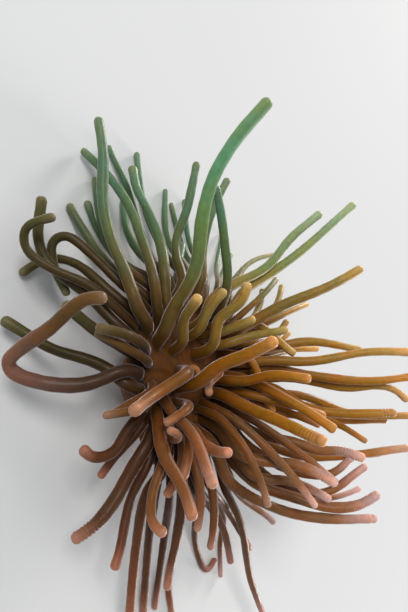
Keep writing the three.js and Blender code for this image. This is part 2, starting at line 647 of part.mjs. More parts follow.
// The blunt tip: a point past the last cross-section, and a smaller ring before it where the
// tentacle is a solid of its own.
const TIP_RING = { size: 0.66, reach: 0.62 };
function addTip(rings, withRing) {
  const { ring, centre, tangent, size } = rings.at(-1);
  if (withRing) {
    const small = ring.map((point) => point.clone().sub(centre).multiplyScalar(TIP_RING.size)
      .add(centre).addScaledVector(tangent, size * TIP_RING.reach));
    rings.push({ ring: small, centre, tangent, size });
  }
  return centre.clone().addScaledVector(tangent, size);
}

// The solids of a tentacle, from root to tip, parted into the given number of lengths.
function tentacleSolids(tentacle, lengths, grow = 0) {
  const rings = tentacle.joined ? ringsAlong(tentacle, JOINED_SIDES, JOINED_SLACK, grow)
    : ringsAlong(tentacle, OWN_SIDES, OWN_SLACK, grow);
  const cuts = [];
  for (let cut = 1; cut < lengths; cut += 1) {
    cuts.push(Math.round(cut * (rings.length - 1) / lengths));
  }
  const tip = addTip(rings, !tentacle.joined);
  const starts = [0, ...cuts];
  return starts.map((from, index) => {
    const to = cuts[index] ?? rings.length - 1;
    const piece = rings.slice(from, to + 1).map(({ ring }) => ring.map((point) => point.clone()));
    const startCentre = rings[from].centre.clone();
    let endPoint = tip;
    if (index > 0) {
      piece[0].forEach((point) => point.addScaledVector(rings[from].tangent, GAP));
      startCentre.addScaledVector(rings[from].tangent, GAP);
    }
    if (index < cuts.length) endPoint = rings[to].centre.clone();
    return loft(piece, startCentre, endPoint);
  });
}

// ---------------------------------------------------------------- body
// A turned body whose outline is given as rows of [radius, height] from bottom to top.
function turned(rows, wave) {
  const rings = rows.map(([radius, height]) => {
    const ring = [];
    for (let step = 0; step < ROUND_STEPS; step += 1) {
      const azimuth = -step * 360 / ROUND_STEPS;
      ring.push(onDisc(azimuth, radius * (1 + wave * Math.cos(rad(4 * azimuth) + height / 20)),
        height));
    }
    return ring;
  });
  return loft(rings, new THREE.Vector3(0, 0, rows[0][1]), new THREE.Vector3(0, 0, rows.at(-1)[1]));
}

const underDisc = DISC_HEIGHT - DISC_DIP - DISC_THICK;
const COLUMN_WAVE = 0.02;

const pedalDisc = () => turned([
  [FOOT_RADIUS, 0],
  [FOOT_RADIUS, FOOT_HEIGHT * 0.35],
  [COLUMN_WAIST + 2, FOOT_HEIGHT],
], COLUMN_WAVE);

const column = () => turned([
  [COLUMN_WAIST + 2, FOOT_HEIGHT + GAP],
  [COLUMN_WAIST, lerp(FOOT_HEIGHT, underDisc, 0.4)],
  [COLUMN_WAIST + 1, lerp(FOOT_HEIGHT, underDisc, 0.7)],
  [COLUMN_TOP, underDisc - GAP],
], COLUMN_WAVE);

// The lips: a raised oval with a long slit that goes down into the throat.
const SLIT = [10, 3.2];         // half length and half width of the slit
function mouth() {
  const radius = MOUTH_RADIUS - GAP;
  const rim = discTop(0, MOUTH_RADIUS);
  const lips = turned([
    [radius, underDisc],
    [radius, rim - 1],
    [radius * 0.8, rim + LIP_HEIGHT * 0.8],
    [radius * 0.55, rim + LIP_HEIGHT],
  ], 0);
  const throat = manifoldOf(new THREE.CylinderGeometry(1, 0.5, DISC_THICK, 10)
    .rotateX(Math.PI / 2).scale(SLIT[0], SLIT[1], 1)
    .translate(0, 0, rim + LIP_HEIGHT + 1 - DISC_THICK / 2));
  return lips.subtract(throat);
}

// ---------------------------------------------------------------- colours
const flesh = (color, roughness) => new THREE.MeshStandardMaterial({
  color, roughness, metalness: 0,
});
const COLOURS = { disc: 0x8a6428, column: 0x7a5a52, foot: 0x6e5048, mouth: 0x9a7a4a, tentacle: 0x8f7a3a };

function named(name, solid, color) {
  const mesh = new THREE.Mesh(geometryOf(solid), flesh(color, 0.5));
  mesh.name = name;
  return mesh;
}

// ---------------------------------------------------------------- the animal
const anemone = new THREE.Group();
anemone.add(named('pedal_disc', pedalDisc(), COLOURS.foot));
anemone.add(named('column', column(), COLOURS.column));
anemone.add(named('mouth', mouth(), COLOURS.mouth));

const ownPlaces = OWN_SOLIDS.map(({ row }) => placeOf(row, false));
const joinedPlaces = JOINED_ROWS.map((row) => placeOf(row, true));
const fillPlaces = fillers([...ownPlaces, ...joinedPlaces]);
easeRoots([...ownPlaces, ...joinedPlaces, ...fillPlaces]);

const own = ownPlaces.map((place, index) => laidTentacle(place, OWN_SOLIDS[index].row));
const joined = [
  ...joinedPlaces.map((place, index) => laidTentacle(place, JOINED_ROWS[index])),
  ...fillPlaces.map(fillTentacle),
];
easeApart([...own, ...joined]);

// Each solid leaves the gap round those that are already there.
const taken = [];
function clearOfTaken(solid) {
  return taken.filter((other) => other.intersect(solid).volume() > 0)
    .reduce((rest, other) => rest.subtract(other), solid);
}

const cutter = discCutter();
OWN_SOLIDS.forEach(({ name, lengths }, index) => {
  const solids = tentacleSolids(own[index], lengths).map(clearOfTaken);
  solids[0] = solids[0].subtract(cutter);
  solids.forEach((solid, length) => {
    const label = lengths > 1 ? `${name}_${'abc'[length]}` : name;
    anemone.add(named(label, largest(solid), COLOURS.tentacle));
  });
  taken.push(tentacleSolids(own[index], 1, GAP)[0].subtract(cutter));
});

for (let sector = 0; sector < SECTORS; sector += 1) {
  const from = sector * SECTOR_ANGLE + SECTOR_GAP;
  const to = (sector + 1) * SECTOR_ANGLE - SECTOR_GAP;
  const grown = joined.filter((tentacle) => tentacle.sector === sector);
  const solid = grown.reduce((rest, tentacle) => rest.add(tentacleSolids(tentacle, 1)[0]),
    discFlesh(from, to, SECTOR_STEPS, MOUTH_RADIUS, 0));
  anemone.add(named(`disc_${sector + 1}`, largest(clearOfTaken(solid)), COLOURS.disc));
  taken.push(...grown.map((tentacle) => tentacleSolids(tentacle, 1, GAP)[0]));
}

export default anemone;
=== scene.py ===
"""Magnificent sea anemone (Heteractis magnifica), life size: its living skin, light and camera.

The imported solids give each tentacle's course and girth. This script reads those courses back
from the solids, smooths them, and grows one closed skin over the whole animal: tentacles, oral
disc, lips, column and pedal disc. Lengths are in millimetres until the mesh is made, in metres.
"""

import math
import re
from collections import defaultdict

import bpy
import numpy as np
from mathutils import Matrix, Vector
from mathutils.geometry import delaunay_2d_cdt
from mathutils.kdtree import KDTree


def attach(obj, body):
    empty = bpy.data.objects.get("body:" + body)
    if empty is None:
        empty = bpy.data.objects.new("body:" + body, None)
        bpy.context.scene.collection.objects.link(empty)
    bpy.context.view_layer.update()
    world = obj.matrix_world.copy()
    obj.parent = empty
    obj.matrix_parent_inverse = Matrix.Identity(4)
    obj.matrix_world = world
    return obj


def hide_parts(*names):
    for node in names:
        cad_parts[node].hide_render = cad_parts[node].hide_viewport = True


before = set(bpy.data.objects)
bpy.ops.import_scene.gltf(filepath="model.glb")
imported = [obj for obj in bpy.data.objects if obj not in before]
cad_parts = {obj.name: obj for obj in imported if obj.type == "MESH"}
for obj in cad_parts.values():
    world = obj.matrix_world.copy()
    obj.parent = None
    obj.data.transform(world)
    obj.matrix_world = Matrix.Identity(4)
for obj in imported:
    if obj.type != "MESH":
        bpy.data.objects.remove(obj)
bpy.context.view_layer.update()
MM = 0.001
TURN = 2 * math.pi

# ------------------------------------------------------------------ driving dimensions (mm)
DISC_HEIGHT = 72.0              # oral disc above the floor, at its middle
DISC_RADIUS = 96.0              # mean reach of its margin
MARGIN_SHIFT, MARGIN_SHIFT_AZIMUTH = 7.0, 75.0
MARGIN_WAVE, LOBES, LOBE_AZIMUTH = 9.0, 3, 58.0
MARGIN_ROLL, ROLL_PHASE = 5.0, 0.6
DISC_DIP = 6.0
RIM_HALF = 4.0                  # half the thickness of the margin
RIM_FROM = 0.84                 # share of the reach from which the margin rounds off
RIM_EDGE = 0.985                # and where the upper face gives way to the underside
MOUTH_RADIUS = 15.0
SLIT = (9.0, 2.4)               # half length and half width of the mouth's slit
THROAT_DEPTH = 12.0

CORNER_ROOM = 1.12              # a solid's corners stand this much outside the real girth
OWN_SIDES, JOINED_SIDES = 5, 4  # sides of the solids of tentacles
END_RING = 0.8                  # a last ring smaller than this belongs to the round tip
RING_UNEVEN, RING_LARGEST = 1.35, 9.0  # a tentacle's cross-section is rounder and smaller

LINE_STEP = 2.0                 # spacing of the points that a centreline is worked out on
LEAST_POINTS = 8                # and the fewest that it has
SMOOTH_PASSES = 22              # how often a centreline is smoothed
ELBOW_PASSES = 3                # and one with a sharp elbow
ROOT_PASSES, ROOT_REACH = 220, 62.0  # a tentacle bends more gently over this first stretch
ROOT_CLEAR = 9.0                # the solids' rings nearer than this to the disc aren't followed
ROOT_RISE = 6.0                 # a tentacle first rises from the disc by this much,
LEAN_INNER, LEAN_OUTER = 0.7, 1.2  # leaning this much towards its course, more at the margin
ROOT_ROOM, ROOT_SPARE = 0.6, 1.5  # clear disc round a root, and from there to mouth and margin
SPREAD_PASSES = 200
RING_STEP = 3.3                 # distance between the skin's rings along a tentacle
FIRST_STEP, STEP_GROWTH = 1.0, 1.25  # at its root they stand closer
FINE_STEP = 0.8                 # and so they do where a drawn-in tip is wrinkled
SIDES = 13                      # vertices round a tentacle
ROOT_FLARE = 0.22               # a tentacle widens by this share where it leaves the disc
FLARE_FALL = 2.6                # over about this length
MARGIN_SIDES = 192
MOUTH_SIDES = 56
DISC_GRID, DISC_ROW = 2.6, 0.866  # spacing of the oral disc's own vertices, and of their rows
DISC_HALF = 125                 # half the side of the square that they are laid out on
DISC_SPARE = 1.5                # they keep this clear of roots, mouth and margin,
EDGE_ROW, EDGE_SPARE = 1.3, 1.1  # but for one row this far within the margin
TIP_ROUND = 2.3                 # exponent of the blunt tip's outline: 2 is a half ball
TIP_RINGS = 7

CONTACT_ROOM = 0.5              # clear space kept between tentacles
CONTACT_PASSES = 30             # rounds of moving them apart
SHIFT_PASSES = 2                # how often that movement is smoothed along a tentacle
NEAR_GIRTHS, NEAR_REACH = 2.4, 4.0  # neighbours are looked for within this
OWN_GIRTHS = 4                  # a tentacle may near itself only past this many girths
FREE_OF_DISC = 14.0             # past this much of its length a tentacle keeps out of the disc
CLEAR_OF_FLOOR = 0.3
BEND_LIMIT = 2.8                # a bend's least radius, in girths
ELBOWS = {"tentacle_loop": 1.15}  # the same where a tentacle is folded more sharply
BEND_SPAN, BEND_PASSES = 3, 3   # points to each side that a bend is measured over

# A tentacle's girth swells and shrinks along it in waves: share of the girth and mm a radian.
GIRTH_WAVES = [(0.018, 2.6), (0.02, 8), (0.022, 17)]
BLUNT_SWELL, SWELL_FROM, SWELL_OVER = 0.08, 16.0, 12.0  # a blunt tip widens near its end
WRINKLE_DEPTH = 0.15            # share of the girth
WRINKLE_PITCH = 2.6, 3.4
WRINKLE_ONSET = 2.2             # how fast they deepen: 1 would be all the way to the tip
OVAL, OVAL_WAVE = 0.05, 23      # how far a tentacle is from round
ROOT_BLEND = 1, 0.6, 0.3, 0.1   # how far its first rings follow the disc's surface
ROOT_PAINTED_SHADE, SHADE_OVER = 0.28, 45.0  # it is darker where it leaves the disc, with painted shade
PALE_FROM, PALE_WRINKLED, PALE_OVER = 18.0, 10.0, 24.0  # and paler towards the tip
TINT_RANGE = 0.9, 1.1           # how dark or light a whole tentacle may be
PATCH_GAP = 2.0                 # between patches of the unwrap

# The colours' noise has a space of its own. Each tentacle is a narrow tube there, apart from the
# next, and the disc, the mouth and the column lie about the last three places.
STRAND_RADIUS, STRAND_APART = 5, 40
DISC_STRAND, MOUTH_STRAND, COLUMN_STRAND = 400, 700, 900
DISC_MARK, MOUTH_MARK, COLUMN_MARK = (0.0, 0.35), (0.0, 0.6), (0.0, 0.4)  # as in Skin.add

# The lips and the throat: rows of radius, height above the disc, and how far the ring is drawn
# in to the slit.
LIP_PROFILE = [(14.4, 0.7, 0.0), (13.6, 1.7, 0.0), (12.6, 2.8, 0.02), (11.3, 3.7, 0.08),
               (9.9, 4.2, 0.2), (8.6, 4.2, 0.42), (7.2, 3.7, 0.7), (6.2, 2.6, 0.9),
               (5.6, 0.8, 1.0), (5.2, -2.5, 1.0), (4.8, -6.5, 1.0), (4.0, -THROAT_DEPTH, 1.0)]
LIP_FOLDS, LIP_FOLD_DEPTH = 14, 0.05
THROAT_FROM = 6.2               # the radius at which the slit is at its full size

# The underside: shares of the margin's reach, then shares of the way in to the column's top.
RIM_SHARES = 1.0, 0.985, 0.96, 0.92, 0.86
UNDER_SHARES, UNDER_BOW = (0.14, 0.28, 0.42, 0.56, 0.7, 0.82, 0.92), 1.5
COLUMN_TOP = 46.0, 50.0         # radius and height, as in the rows below it
COLUMN_PROFILE = [(45.0, 48.5), (43.2, 45.5), (42.0, 42), (41.2, 38.5), (40.6, 35), (40.2, 31.5),
                  (40.0, 28), (39.9, 24.5), (40.0, 21), (40.3, 17.5), (41.0, 14.5), (42.4, 11.8),
                  (44.6, 9.4), (46.8, 7), (48.6, 4.6), (49.6, 2.4), (49.4, 0.9), (48.2, 0.0),
                  (40.0, 0.0), (22.0, 0.0)]
RIBS, RIB_DEPTH = 48, 0.5
CREASE_DEPTH, CREASE_SPAN = 0.35, 1.4  # fine creases round the column
UNDER_RADIUS = 62               # how wide its part of the unwrap is, as the radius of a ring


def rng(seed):
    return np.random.default_rng(seed)


def placed(name, data):
    """A new object in the scene."""
    made = bpy.data.objects.new(name, data)
    bpy.context.scene.collection.objects.link(made)
    return made


# ------------------------------------------------------------------ oral disc's surface
def azimuth_of(x, y):
    """0 is the front (-Y), a quarter turn is -X and half a turn is the back."""
    return np.arctan2(-x, -y)


def margin_reach(azimuth):
    return (DISC_RADIUS + MARGIN_SHIFT * np.cos(azimuth - math.radians(MARGIN_SHIFT_AZIMUTH))
            + MARGIN_WAVE * np.cos(LOBES * (azimuth - math.radians(LOBE_AZIMUTH))))


def margin_roll(azimuth):
    return MARGIN_ROLL * np.sin(LOBES * azimuth + ROLL_PHASE)


def rim_half_at(out):
    """Half thickness of the rounded margin at a share of the reach."""
    t = np.clip((out - RIM_FROM) / (1 - RIM_FROM), 0, 1)
    return RIM_HALF * np.sqrt(1 - t * t)


def fold_wave(azimuth, radius):
    """The broad radial folds, which also carry the disc's streaks of colour."""
    return np.sin(23 * azimuth + 1.4 * np.sin(radius / 11))


def folds(x, y):
    """Soft radial folds of the disc's flesh, deepest halfway out."""
    azimuth, radius = azimuth_of(x, y), np.hypot(x, y)
    depth = np.clip((radius - MOUTH_RADIUS) / 20, 0, 1) * np.clip((92 - radius) / 30, 0, 1)
    wave = fold_wave(azimuth, radius) + 0.6 * np.sin(41 * azimuth + radius / 13)
    ripple = np.sin(radius / 1.9 + 3 * np.sin(5 * azimuth))
    return depth * (0.55 * wave + 0.22 * ripple)


def disc_height_at(x, y):
    azimuth, radius = azimuth_of(x, y), np.hypot(x, y)
    out = radius / margin_reach(azimuth)
    top = DISC_HEIGHT - DISC_DIP * (1 - out) + margin_roll(azimuth) * out ** 2
    return top - (RIM_HALF - rim_half_at(out)) + folds(x, y)


def disc_normal_at(x, y):
    reach = 2.0
    dx = (disc_height_at(x + reach, y) - disc_height_at(x - reach, y)) / (2 * reach)
    dy = (disc_height_at(x, y + reach) - disc_height_at(x, y - reach)) / (2 * reach)
    return unit(np.array([-dx, -dy, 1.0]))


def unit(v):
    return v / max(np.linalg.norm(v), 1e-9)


# ------------------------------------------------------------------ courses of the tentacles
def welded(node):
    """A node's points in mm and its triangles, with the points that coincide made one."""
    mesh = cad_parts[node].data
    points, index, seen = [], [], {}
    for vertex in mesh.vertices:
        at = np.array(vertex.co) / MM
        key = tuple(np.round(at, 2))
        if key not in seen:
            seen[key] = len(points)
            points.append(at)
        index.append(seen[key])
    mesh.calc_loop_triangles()
    triangles = [tuple(index[i] for i in t.vertices) for t in mesh.loop_triangles]
    return np.array(points), [t for t in triangles if len(set(t)) == 3]


def courses_in(node, sides):
    """Each run of cross-sections that starts at a pole, as rows of centre and girth, and the
    place that follows it."""
    points, triangles = welded(node)
    near = defaultdict(set)
    for a, b, c in triangles:
        near[a] |= {b, c}
        near[b] |= {a, c}
        near[c] |= {a, b}
    found = []
    for pole in range(len(points)):
        layer = near[pole]
        if len(layer) != sides or any(len(near[u] & layer) != 2 for u in layer):
            continue
        done, run, after = {pole}, [[*points[pole], 0.0]], None
        while True:
            ring = points[sorted(layer)]
            centre = ring.mean(0)
            size = np.linalg.norm(ring - centre, axis=1)
            if size.max() > RING_UNEVEN * size.min() or size.mean() > RING_LARGEST:
                break
            run.append([*centre, size.mean() / CORNER_ROOM])
            done |= layer
            following = set().union(*[near[u] for u in layer]) - done
            after = points[sorted(following)].mean(0) if following else None
            if len(following) != sides:
                break
            layer = following
        if len(run) > 2:
            found.append((np.array(run), after))
    return found


def without_end_ring(run):
    """A run from its tip, without the small ring of the blunt end."""
    return np.delete(run, 1, 0) if run[1, 3] < END_RING * run[2, 3] else run


def read_tentacles():
    """Each tentacle as knots of x, y, z and girth from its root on the disc to its tip."""
    whole, lengths = [], defaultdict(list)
    for node in sorted(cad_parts):
        if node.startswith("disc_"):
            found = sorted(courses_in(node, JOINED_SIDES), key=lambda course: course[0][0, 0])
            for number, (run, after) in enumerate(found):
                whole.append((f"{node}.{number}", run, after))
        elif node.startswith("tentacle_"):
            lengths[re.sub(r"_[abc]$", "", node)].append(node)
    for name, nodes in sorted(lengths.items()):
        run, after = max(courses_in(nodes[0], OWN_SIDES), key=lambda found: len(found[0]))
        for node in nodes[1:]:
            joins = run[0, :3]
            further, beyond = min(courses_in(node, OWN_SIDES),
                                  key=lambda found: np.linalg.norm(found[0][0, :3] - joins))
            run = np.vstack([[*beyond, 0.0], further[:0:-1], run[1:]])
        whole.append((name, run, after))
    tentacles = []
    for name, run, after in whole:
        run = without_end_ring(run)
        run[0, 3] = run[1, 3]
        root = after if after is not None else run[-1, :3]
        tentacles.append({"name": name, "knots": run[::-1].copy(), "root": root[:2].copy(),
                          "girth": float(run[-1, 3])})
    return tentacles


def spread_roots(tentacles):
    """Moves the roots apart in plan until their circles on the disc are clear of each other."""
    at = np.array([t["root"] for t in tentacles])
    room = np.array([t["girth"] * (1 + ROOT_FLARE) + ROOT_ROOM for t in tentacles])
    for _ in range(SPREAD_PASSES):
        apart = at[:, None] - at[None]
        distance = np.hypot(*apart.transpose(2, 0, 1)) + np.eye(len(at)) * 1e3
        lack = np.clip(room[:, None] + room[None] - distance, 0, None)
        at = at + 0.5 * (apart / distance[..., None] * lack[..., None]).sum(1)
        radius, azimuth = np.hypot(*at.T), azimuth_of(*at.T)
        kept = np.clip(radius, MOUTH_RADIUS + ROOT_SPARE + room,
                       margin_reach(azimuth) * RIM_EDGE - ROOT_SPARE - room)
        at = at * (kept / np.maximum(radius, 1e-6))[:, None]
    for tentacle, place in zip(tentacles, at):
        tentacle["root"] = place


def smooth_line(knots, step):
    """Points at about the given spacing on a smooth curve through knots of x, y, z and girth."""
    gap = np.maximum(np.linalg.norm(np.diff(knots[:, :3], axis=0), axis=1), 1e-6)
    slope = np.diff(knots, axis=0) / gap[:, None]
    tangent = np.vstack([slope[:1], (slope[:-1] * gap[1:, None] + slope[1:] * gap[:-1, None])
                         / (gap[1:] + gap[:-1])[:, None], slope[-1:]])
    start = np.concatenate([[0], np.cumsum(gap)])
    run = np.linspace(0, start[-1], max(LEAST_POINTS, int(round(start[-1] / step)) + 1))
    k = np.clip(np.searchsorted(start, run, "right") - 1, 0, len(gap) - 1)
    h, u = gap[k][:, None], ((run - start[k]) / gap[k])[:, None]
    return ((2 * u ** 3 - 3 * u ** 2 + 1) * knots[k] + (u ** 3 - 2 * u ** 2 + u) * h * tangent[k]
            + (3 * u ** 2 - 2 * u ** 3) * knots[k + 1] + (u ** 3 - u ** 2) * h * tangent[k + 1])


def eased(values, passes, fixed=1):
    """Values along a line, smoothed, with the given number held at each end."""
    values = values.copy()
    for _ in range(passes):
        middle = 0.25 * values[:-2] + 0.5 * values[1:-1] + 0.25 * values[2:]
        values[fixed:len(values) - fixed] = middle[fixed - 1:len(middle) - fixed + 1]
    return values


def gentle(line, passes):
    """A line smoothed all along, and most of all where it leaves the disc."""
    line = eased(line, passes)
    share = np.exp(-(np.arange(len(line)) * LINE_STEP / ROOT_REACH) ** 2)[:, None]
    return line * (1 - share) + eased(line, ROOT_PASSES) * share


def lay_lines(tentacles):
    """Gives each tentacle its smooth centreline, which rises from the disc as it leaves it."""
    for tentacle in tentacles:
        x, y = tentacle["root"]
        root = np.array([x, y, disc_height_at(x, y)])
        knots = tentacle["knots"]
        far = np.linalg.norm(knots[:, :3] - root, axis=1)
        keep = np.maximum.accumulate(far > ROOT_CLEAR)
        knots = knots[keep] if keep.sum() > 1 else knots[-2:]
        toward = unit(knots[0, :3] - root)
        edge = np.clip(math.hypot(x, y) / margin_reach(azimuth_of(x, y)) * 2 - 1, 0, 1)
        lean = LEAN_INNER * (1 - edge) + LEAN_OUTER * edge
        rise = root + ROOT_RISE * unit(disc_normal_at(x, y) + lean * toward)
        girth = tentacle["girth"]
        line = smooth_line(np.vstack([[*root, girth], [*rise, girth], knots]), LINE_STEP)
        sharp = tentacle["name"] in ELBOWS
        tentacle["line"] = gentle(line, ELBOW_PASSES if sharp else SMOOTH_PASSES)


def unbent(line, tightest):
    """A line whose bends are no tighter than this many times its girth."""
    line = line.copy()
    for _ in range(BEND_PASSES):
        place = line[:, :3]
        back, ahead = place[:-2 * BEND_SPAN], place[2 * BEND_SPAN:]
        middle = place[BEND_SPAN:-BEND_SPAN]
        first, second = middle - back, ahead - middle
        runs = np.linalg.norm(first, axis=1), np.linalg.norm(second, axis=1)
        cosine = (first * second).sum(1) / np.maximum(runs[0] * runs[1], 1e-6)
        turn = np.arccos(np.clip(cosine, -1, 1))
        bend = 0.5 * (runs[0] + runs[1]) / np.maximum(turn, 1e-3)
        limit = tightest * line[BEND_SPAN:-BEND_SPAN, 3]
        share = np.clip((limit - bend) / limit, 0, 1)[:, None]
        move = np.zeros_like(place)
        move[BEND_SPAN:-BEND_SPAN] = share * 0.5 * ((back + ahead) / 2 - middle)
        line[:, :3] += eased(move, 2)
    return line


def respaced(line):
    """The same line with its points evenly spaced again."""
    gap = np.linalg.norm(np.diff(line[:, :3], axis=0), axis=1)
    run = np.concatenate([[0], np.cumsum(gap)])
    count = max(LEAST_POINTS, int(round(run[-1] / LINE_STEP)) + 1)
    return line_at(line, run, np.linspace(0, run[-1], count))


def line_at(line, run, runs):
    return np.stack([np.interp(runs, run, line[:, c]) for c in range(4)], -1)


def contact_moves(tentacles):
    """How each point of each line should move to be clear of the other tentacles."""
    beads = [(t, i) for t, tentacle in enumerate(tentacles)
             for i in range(0, len(tentacle["line"]), 2)]
    tree = KDTree(len(beads))
    for number, (t, i) in enumerate(beads):
        tree.insert(Vector(tentacles[t]["line"][i, :3]), number)
    tree.balance()
    moves = [np.zeros((len(t["line"]), 3)) for t in tentacles]
    for t, i in beads:
        at = tentacles[t]["line"][i]
        if i * LINE_STEP < ROOT_CLEAR:
            continue
        reach = NEAR_GIRTHS * at[3] + NEAR_REACH
        for place, number, distance in tree.find_range(Vector(at[:3]), reach):
            u, j = beads[number]
            if u == t and abs(j - i) * LINE_STEP < OWN_GIRTHS * at[3]:
                continue
            lack = at[3] + tentacles[u]["line"][j, 3] + CONTACT_ROOM - distance
            if lack > 0 and distance > 1e-4:
                share = 1.0 if j * LINE_STEP < ROOT_CLEAR else 0.5
                moves[t][i] += (at[:3] - np.array(place)) / distance * lack * share
    return moves


def clearing_moves(line):
    """How each point of a line should move to be above the floor and out of the disc's flesh:
    over or under its plate, or off the round of its margin."""
    move = np.zeros((len(line), 3))
    x, y, z, girth = line.T
    radius, top = np.hypot(x, y), disc_height_at(x, y)
    room = RIM_HALF + girth + CONTACT_ROOM
    out = np.clip(radius - margin_reach(azimuth_of(x, y)) + RIM_HALF, 0, None)
    rise = z - top + RIM_HALF
    distance = np.maximum(np.hypot(out, rise), 1e-3)
    free = np.arange(len(line)) * LINE_STEP > FREE_OF_DISC
    lack = np.where(free, np.clip(room - distance, 0, None), 0) / distance
    move[:, :2] = (lack * out / np.maximum(radius, 1))[:, None] * line[:, :2]
    move[:, 2] = lack * rise + np.clip(girth + CLEAR_OF_FLOOR - z, 0, None)
    return move


def push_apart(tentacles):
    """Moves neighbouring tentacles clear of each other, the floor and the disc's own flesh.
    What each is moved by is smoothed along it, so that it keeps its own curls and elbows."""
    for tentacle in tentacles:
        tentacle["line"] = respaced(tentacle["line"])
        tentacle["laid"] = tentacle["line"][:, :3].copy()
    for _ in range(CONTACT_PASSES):
        for tentacle, move in zip(tentacles, contact_moves(tentacles)):
            line, laid = tentacle["line"], tentacle["laid"]
            tangent = np.gradient(line[:, :3], axis=0)
            tangent /= np.linalg.norm(tangent, axis=1)[:, None]
            move = move - tangent * (move * tangent).sum(1)[:, None]
            shift = line[:, :3] - laid + eased(move, 4) + eased(0.5 * clearing_moves(line), 3)
            line[:, :3] = laid + eased(shift, SHIFT_PASSES)
            tentacle["line"] = unbent(line, ELBOWS.get(tentacle["name"], BEND_LIMIT))
    for tentacle in tentacles:
        tentacle["line"] = respaced(tentacle["line"])


# ------------------------------------------------------------------ colours
def linear(red, green, blue):
    """A colour given in the usual 0 to 255 screen values, for the renderer."""
    c = np.array([red, green, blue]) / 255
    return np.where(c <= 0.04045, c / 12.92, ((c + 0.055) / 1.055) ** 2.4)


def palette(*colours):
    return np.array([linear(*colour) for colour in colours])


# Colours at these shares of a tentacle's length, from its root to its tip.
STOPS = [0.0, 0.25, 0.52, 0.8, 1.0]
GREEN = palette((84, 52, 10), (88, 76, 26), (94, 128, 76), (98, 148, 108), (108, 142, 100))
SAGE = palette((84, 52, 14), (80, 66, 26), (78, 96, 58), (78, 110, 82), (94, 120, 90))
PALE_SAGE = palette((112, 76, 18), (132, 104, 36), (114, 126, 72), (124, 142, 102),
                    (154, 168, 128))
OLIVE = palette((96, 58, 10), (114, 80, 20), (116, 92, 34), (132, 110, 48), (172, 144, 80))
GOLD = palette((88, 50, 4), (112, 68, 4), (138, 88, 6), (156, 104, 14), (182, 126, 48))
PALE_GOLD = palette((94, 58, 8), (122, 80, 14), (142, 102, 28), (162, 122, 50), (198, 158, 104))
AMBER = palette((88, 52, 8), (100, 58, 10), (108, 64, 16), (116, 72, 28), (148, 102, 72))
ROSE = palette((88, 50, 12), (98, 60, 22), (108, 68, 32), (132, 88, 54), (206, 166, 164))
BLUSH = palette((92, 54, 24), (110, 66, 32), (122, 74, 40), (140, 88, 56), (176, 120, 94))
# partly painted shade: the lower tentacles' own brown, made as dark as that side lies in shade
UMBER_WITH_PAINTED_SHADE = palette((56, 27, 6), (60, 30, 9), (66, 35, 14), (78, 43, 22), (136, 84, 62))
# partly painted shade: these two palettes, for the tentacles on the shaded side and the loop, are
# their own dull browns made as dark as that side lies in shade
MAUVE_WITH_PAINTED_SHADE = palette((58, 34, 6), (58, 38, 8), (58, 44, 12), (60, 54, 20), (84, 80, 40))
LOOP_WITH_PAINTED_SHADE = palette((54, 31, 13), (60, 37, 22), (112, 77, 64), (80, 54, 12), (88, 64, 20))
# partly painted shade: the disc's own browns, made as dark as the disc lies in shade among the
# roots
DISC_FLESH = linear(102, 60, 18)
DISC_SHADE = linear(72, 40, 12)
LIP_FLESH = linear(152, 100, 44)
COLUMN_FLESH = linear(116, 76, 54)
FOOT_FLESH = linear(142, 100, 74)

# Where round the animal each family of colours is at its fullest, by the azimuth of a
# tentacle's outer half, in degrees: first the tentacles of the margin, then those that grow
# nearer to the mouth.
FAMILY_SPREAD = 9.0
OUTER_FAMILIES = [(10, MAUVE_WITH_PAINTED_SHADE), (35, MAUVE_WITH_PAINTED_SHADE), (57, MAUVE_WITH_PAINTED_SHADE), (75, SAGE), (95, SAGE), (115, SAGE),
                  (135, SAGE), (155, OLIVE), (175, PALE_GOLD), (192, PALE_GOLD),
                  (208, GOLD), (226, ROSE), (245, ROSE), (264, UMBER_WITH_PAINTED_SHADE), (285, UMBER_WITH_PAINTED_SHADE),
                  (305, UMBER_WITH_PAINTED_SHADE), (325, UMBER_WITH_PAINTED_SHADE), (345, UMBER_WITH_PAINTED_SHADE)]
INNER_FAMILIES = [(0, AMBER), (30, AMBER), (65, OLIVE), (100, OLIVE), (130, OLIVE),
                  (160, OLIVE), (190, GOLD), (212, GOLD), (230, ROSE), (250, ROSE),
                  (275, AMBER), (300, BLUSH), (330, AMBER)]
INNER_FROM, INNER_TO = 78.0, 58.0   # root radius where the inner families start, and are full
NAMED_FAMILIES = {
    "disc_3.5": SAGE, "tentacle_tall": GREEN, "tentacle_loop": LOOP_WITH_PAINTED_SHADE, "tentacle_arch": MAUVE_WITH_PAINTED_SHADE,
    "tentacle_left_1": MAUVE_WITH_PAINTED_SHADE, "tentacle_upper_1": SAGE, "tentacle_upper_2": SAGE,
    "tentacle_upper_3": SAGE, "tentacle_upper_4": SAGE, "tentacle_right_1": PALE_SAGE,
    "tentacle_right_2": PALE_SAGE, "tentacle_right_3": OLIVE, "tentacle_right_4": GOLD,
    "tentacle_right_5": PALE_GOLD, "tentacle_right_6": PALE_GOLD, "tentacle_right_7": GOLD,
    "tentacle_right_8": GOLD, "tentacle_right_9": GOLD, "tentacle_under_1": BLUSH}


def blended(families, angle):
    """The families' colours at an azimuth, each weighted by how near its place is."""
    places = np.array([place for place, _ in families])
    off = (angle - places + 180) % 360 - 180
    weight = np.exp(-off ** 2 / (2 * FAMILY_SPREAD ** 2)) + 1e-9
    return np.tensordot(weight / weight.sum(), np.array([row for _, row in families]), 1)


def outer_azimuth(tentacle):
    """Where round the animal a tentacle's outer part is, in degrees."""
    line = tentacle["line"]
    return math.degrees(azimuth_of(*line[len(line) * 2 // 3, :2])) % 360


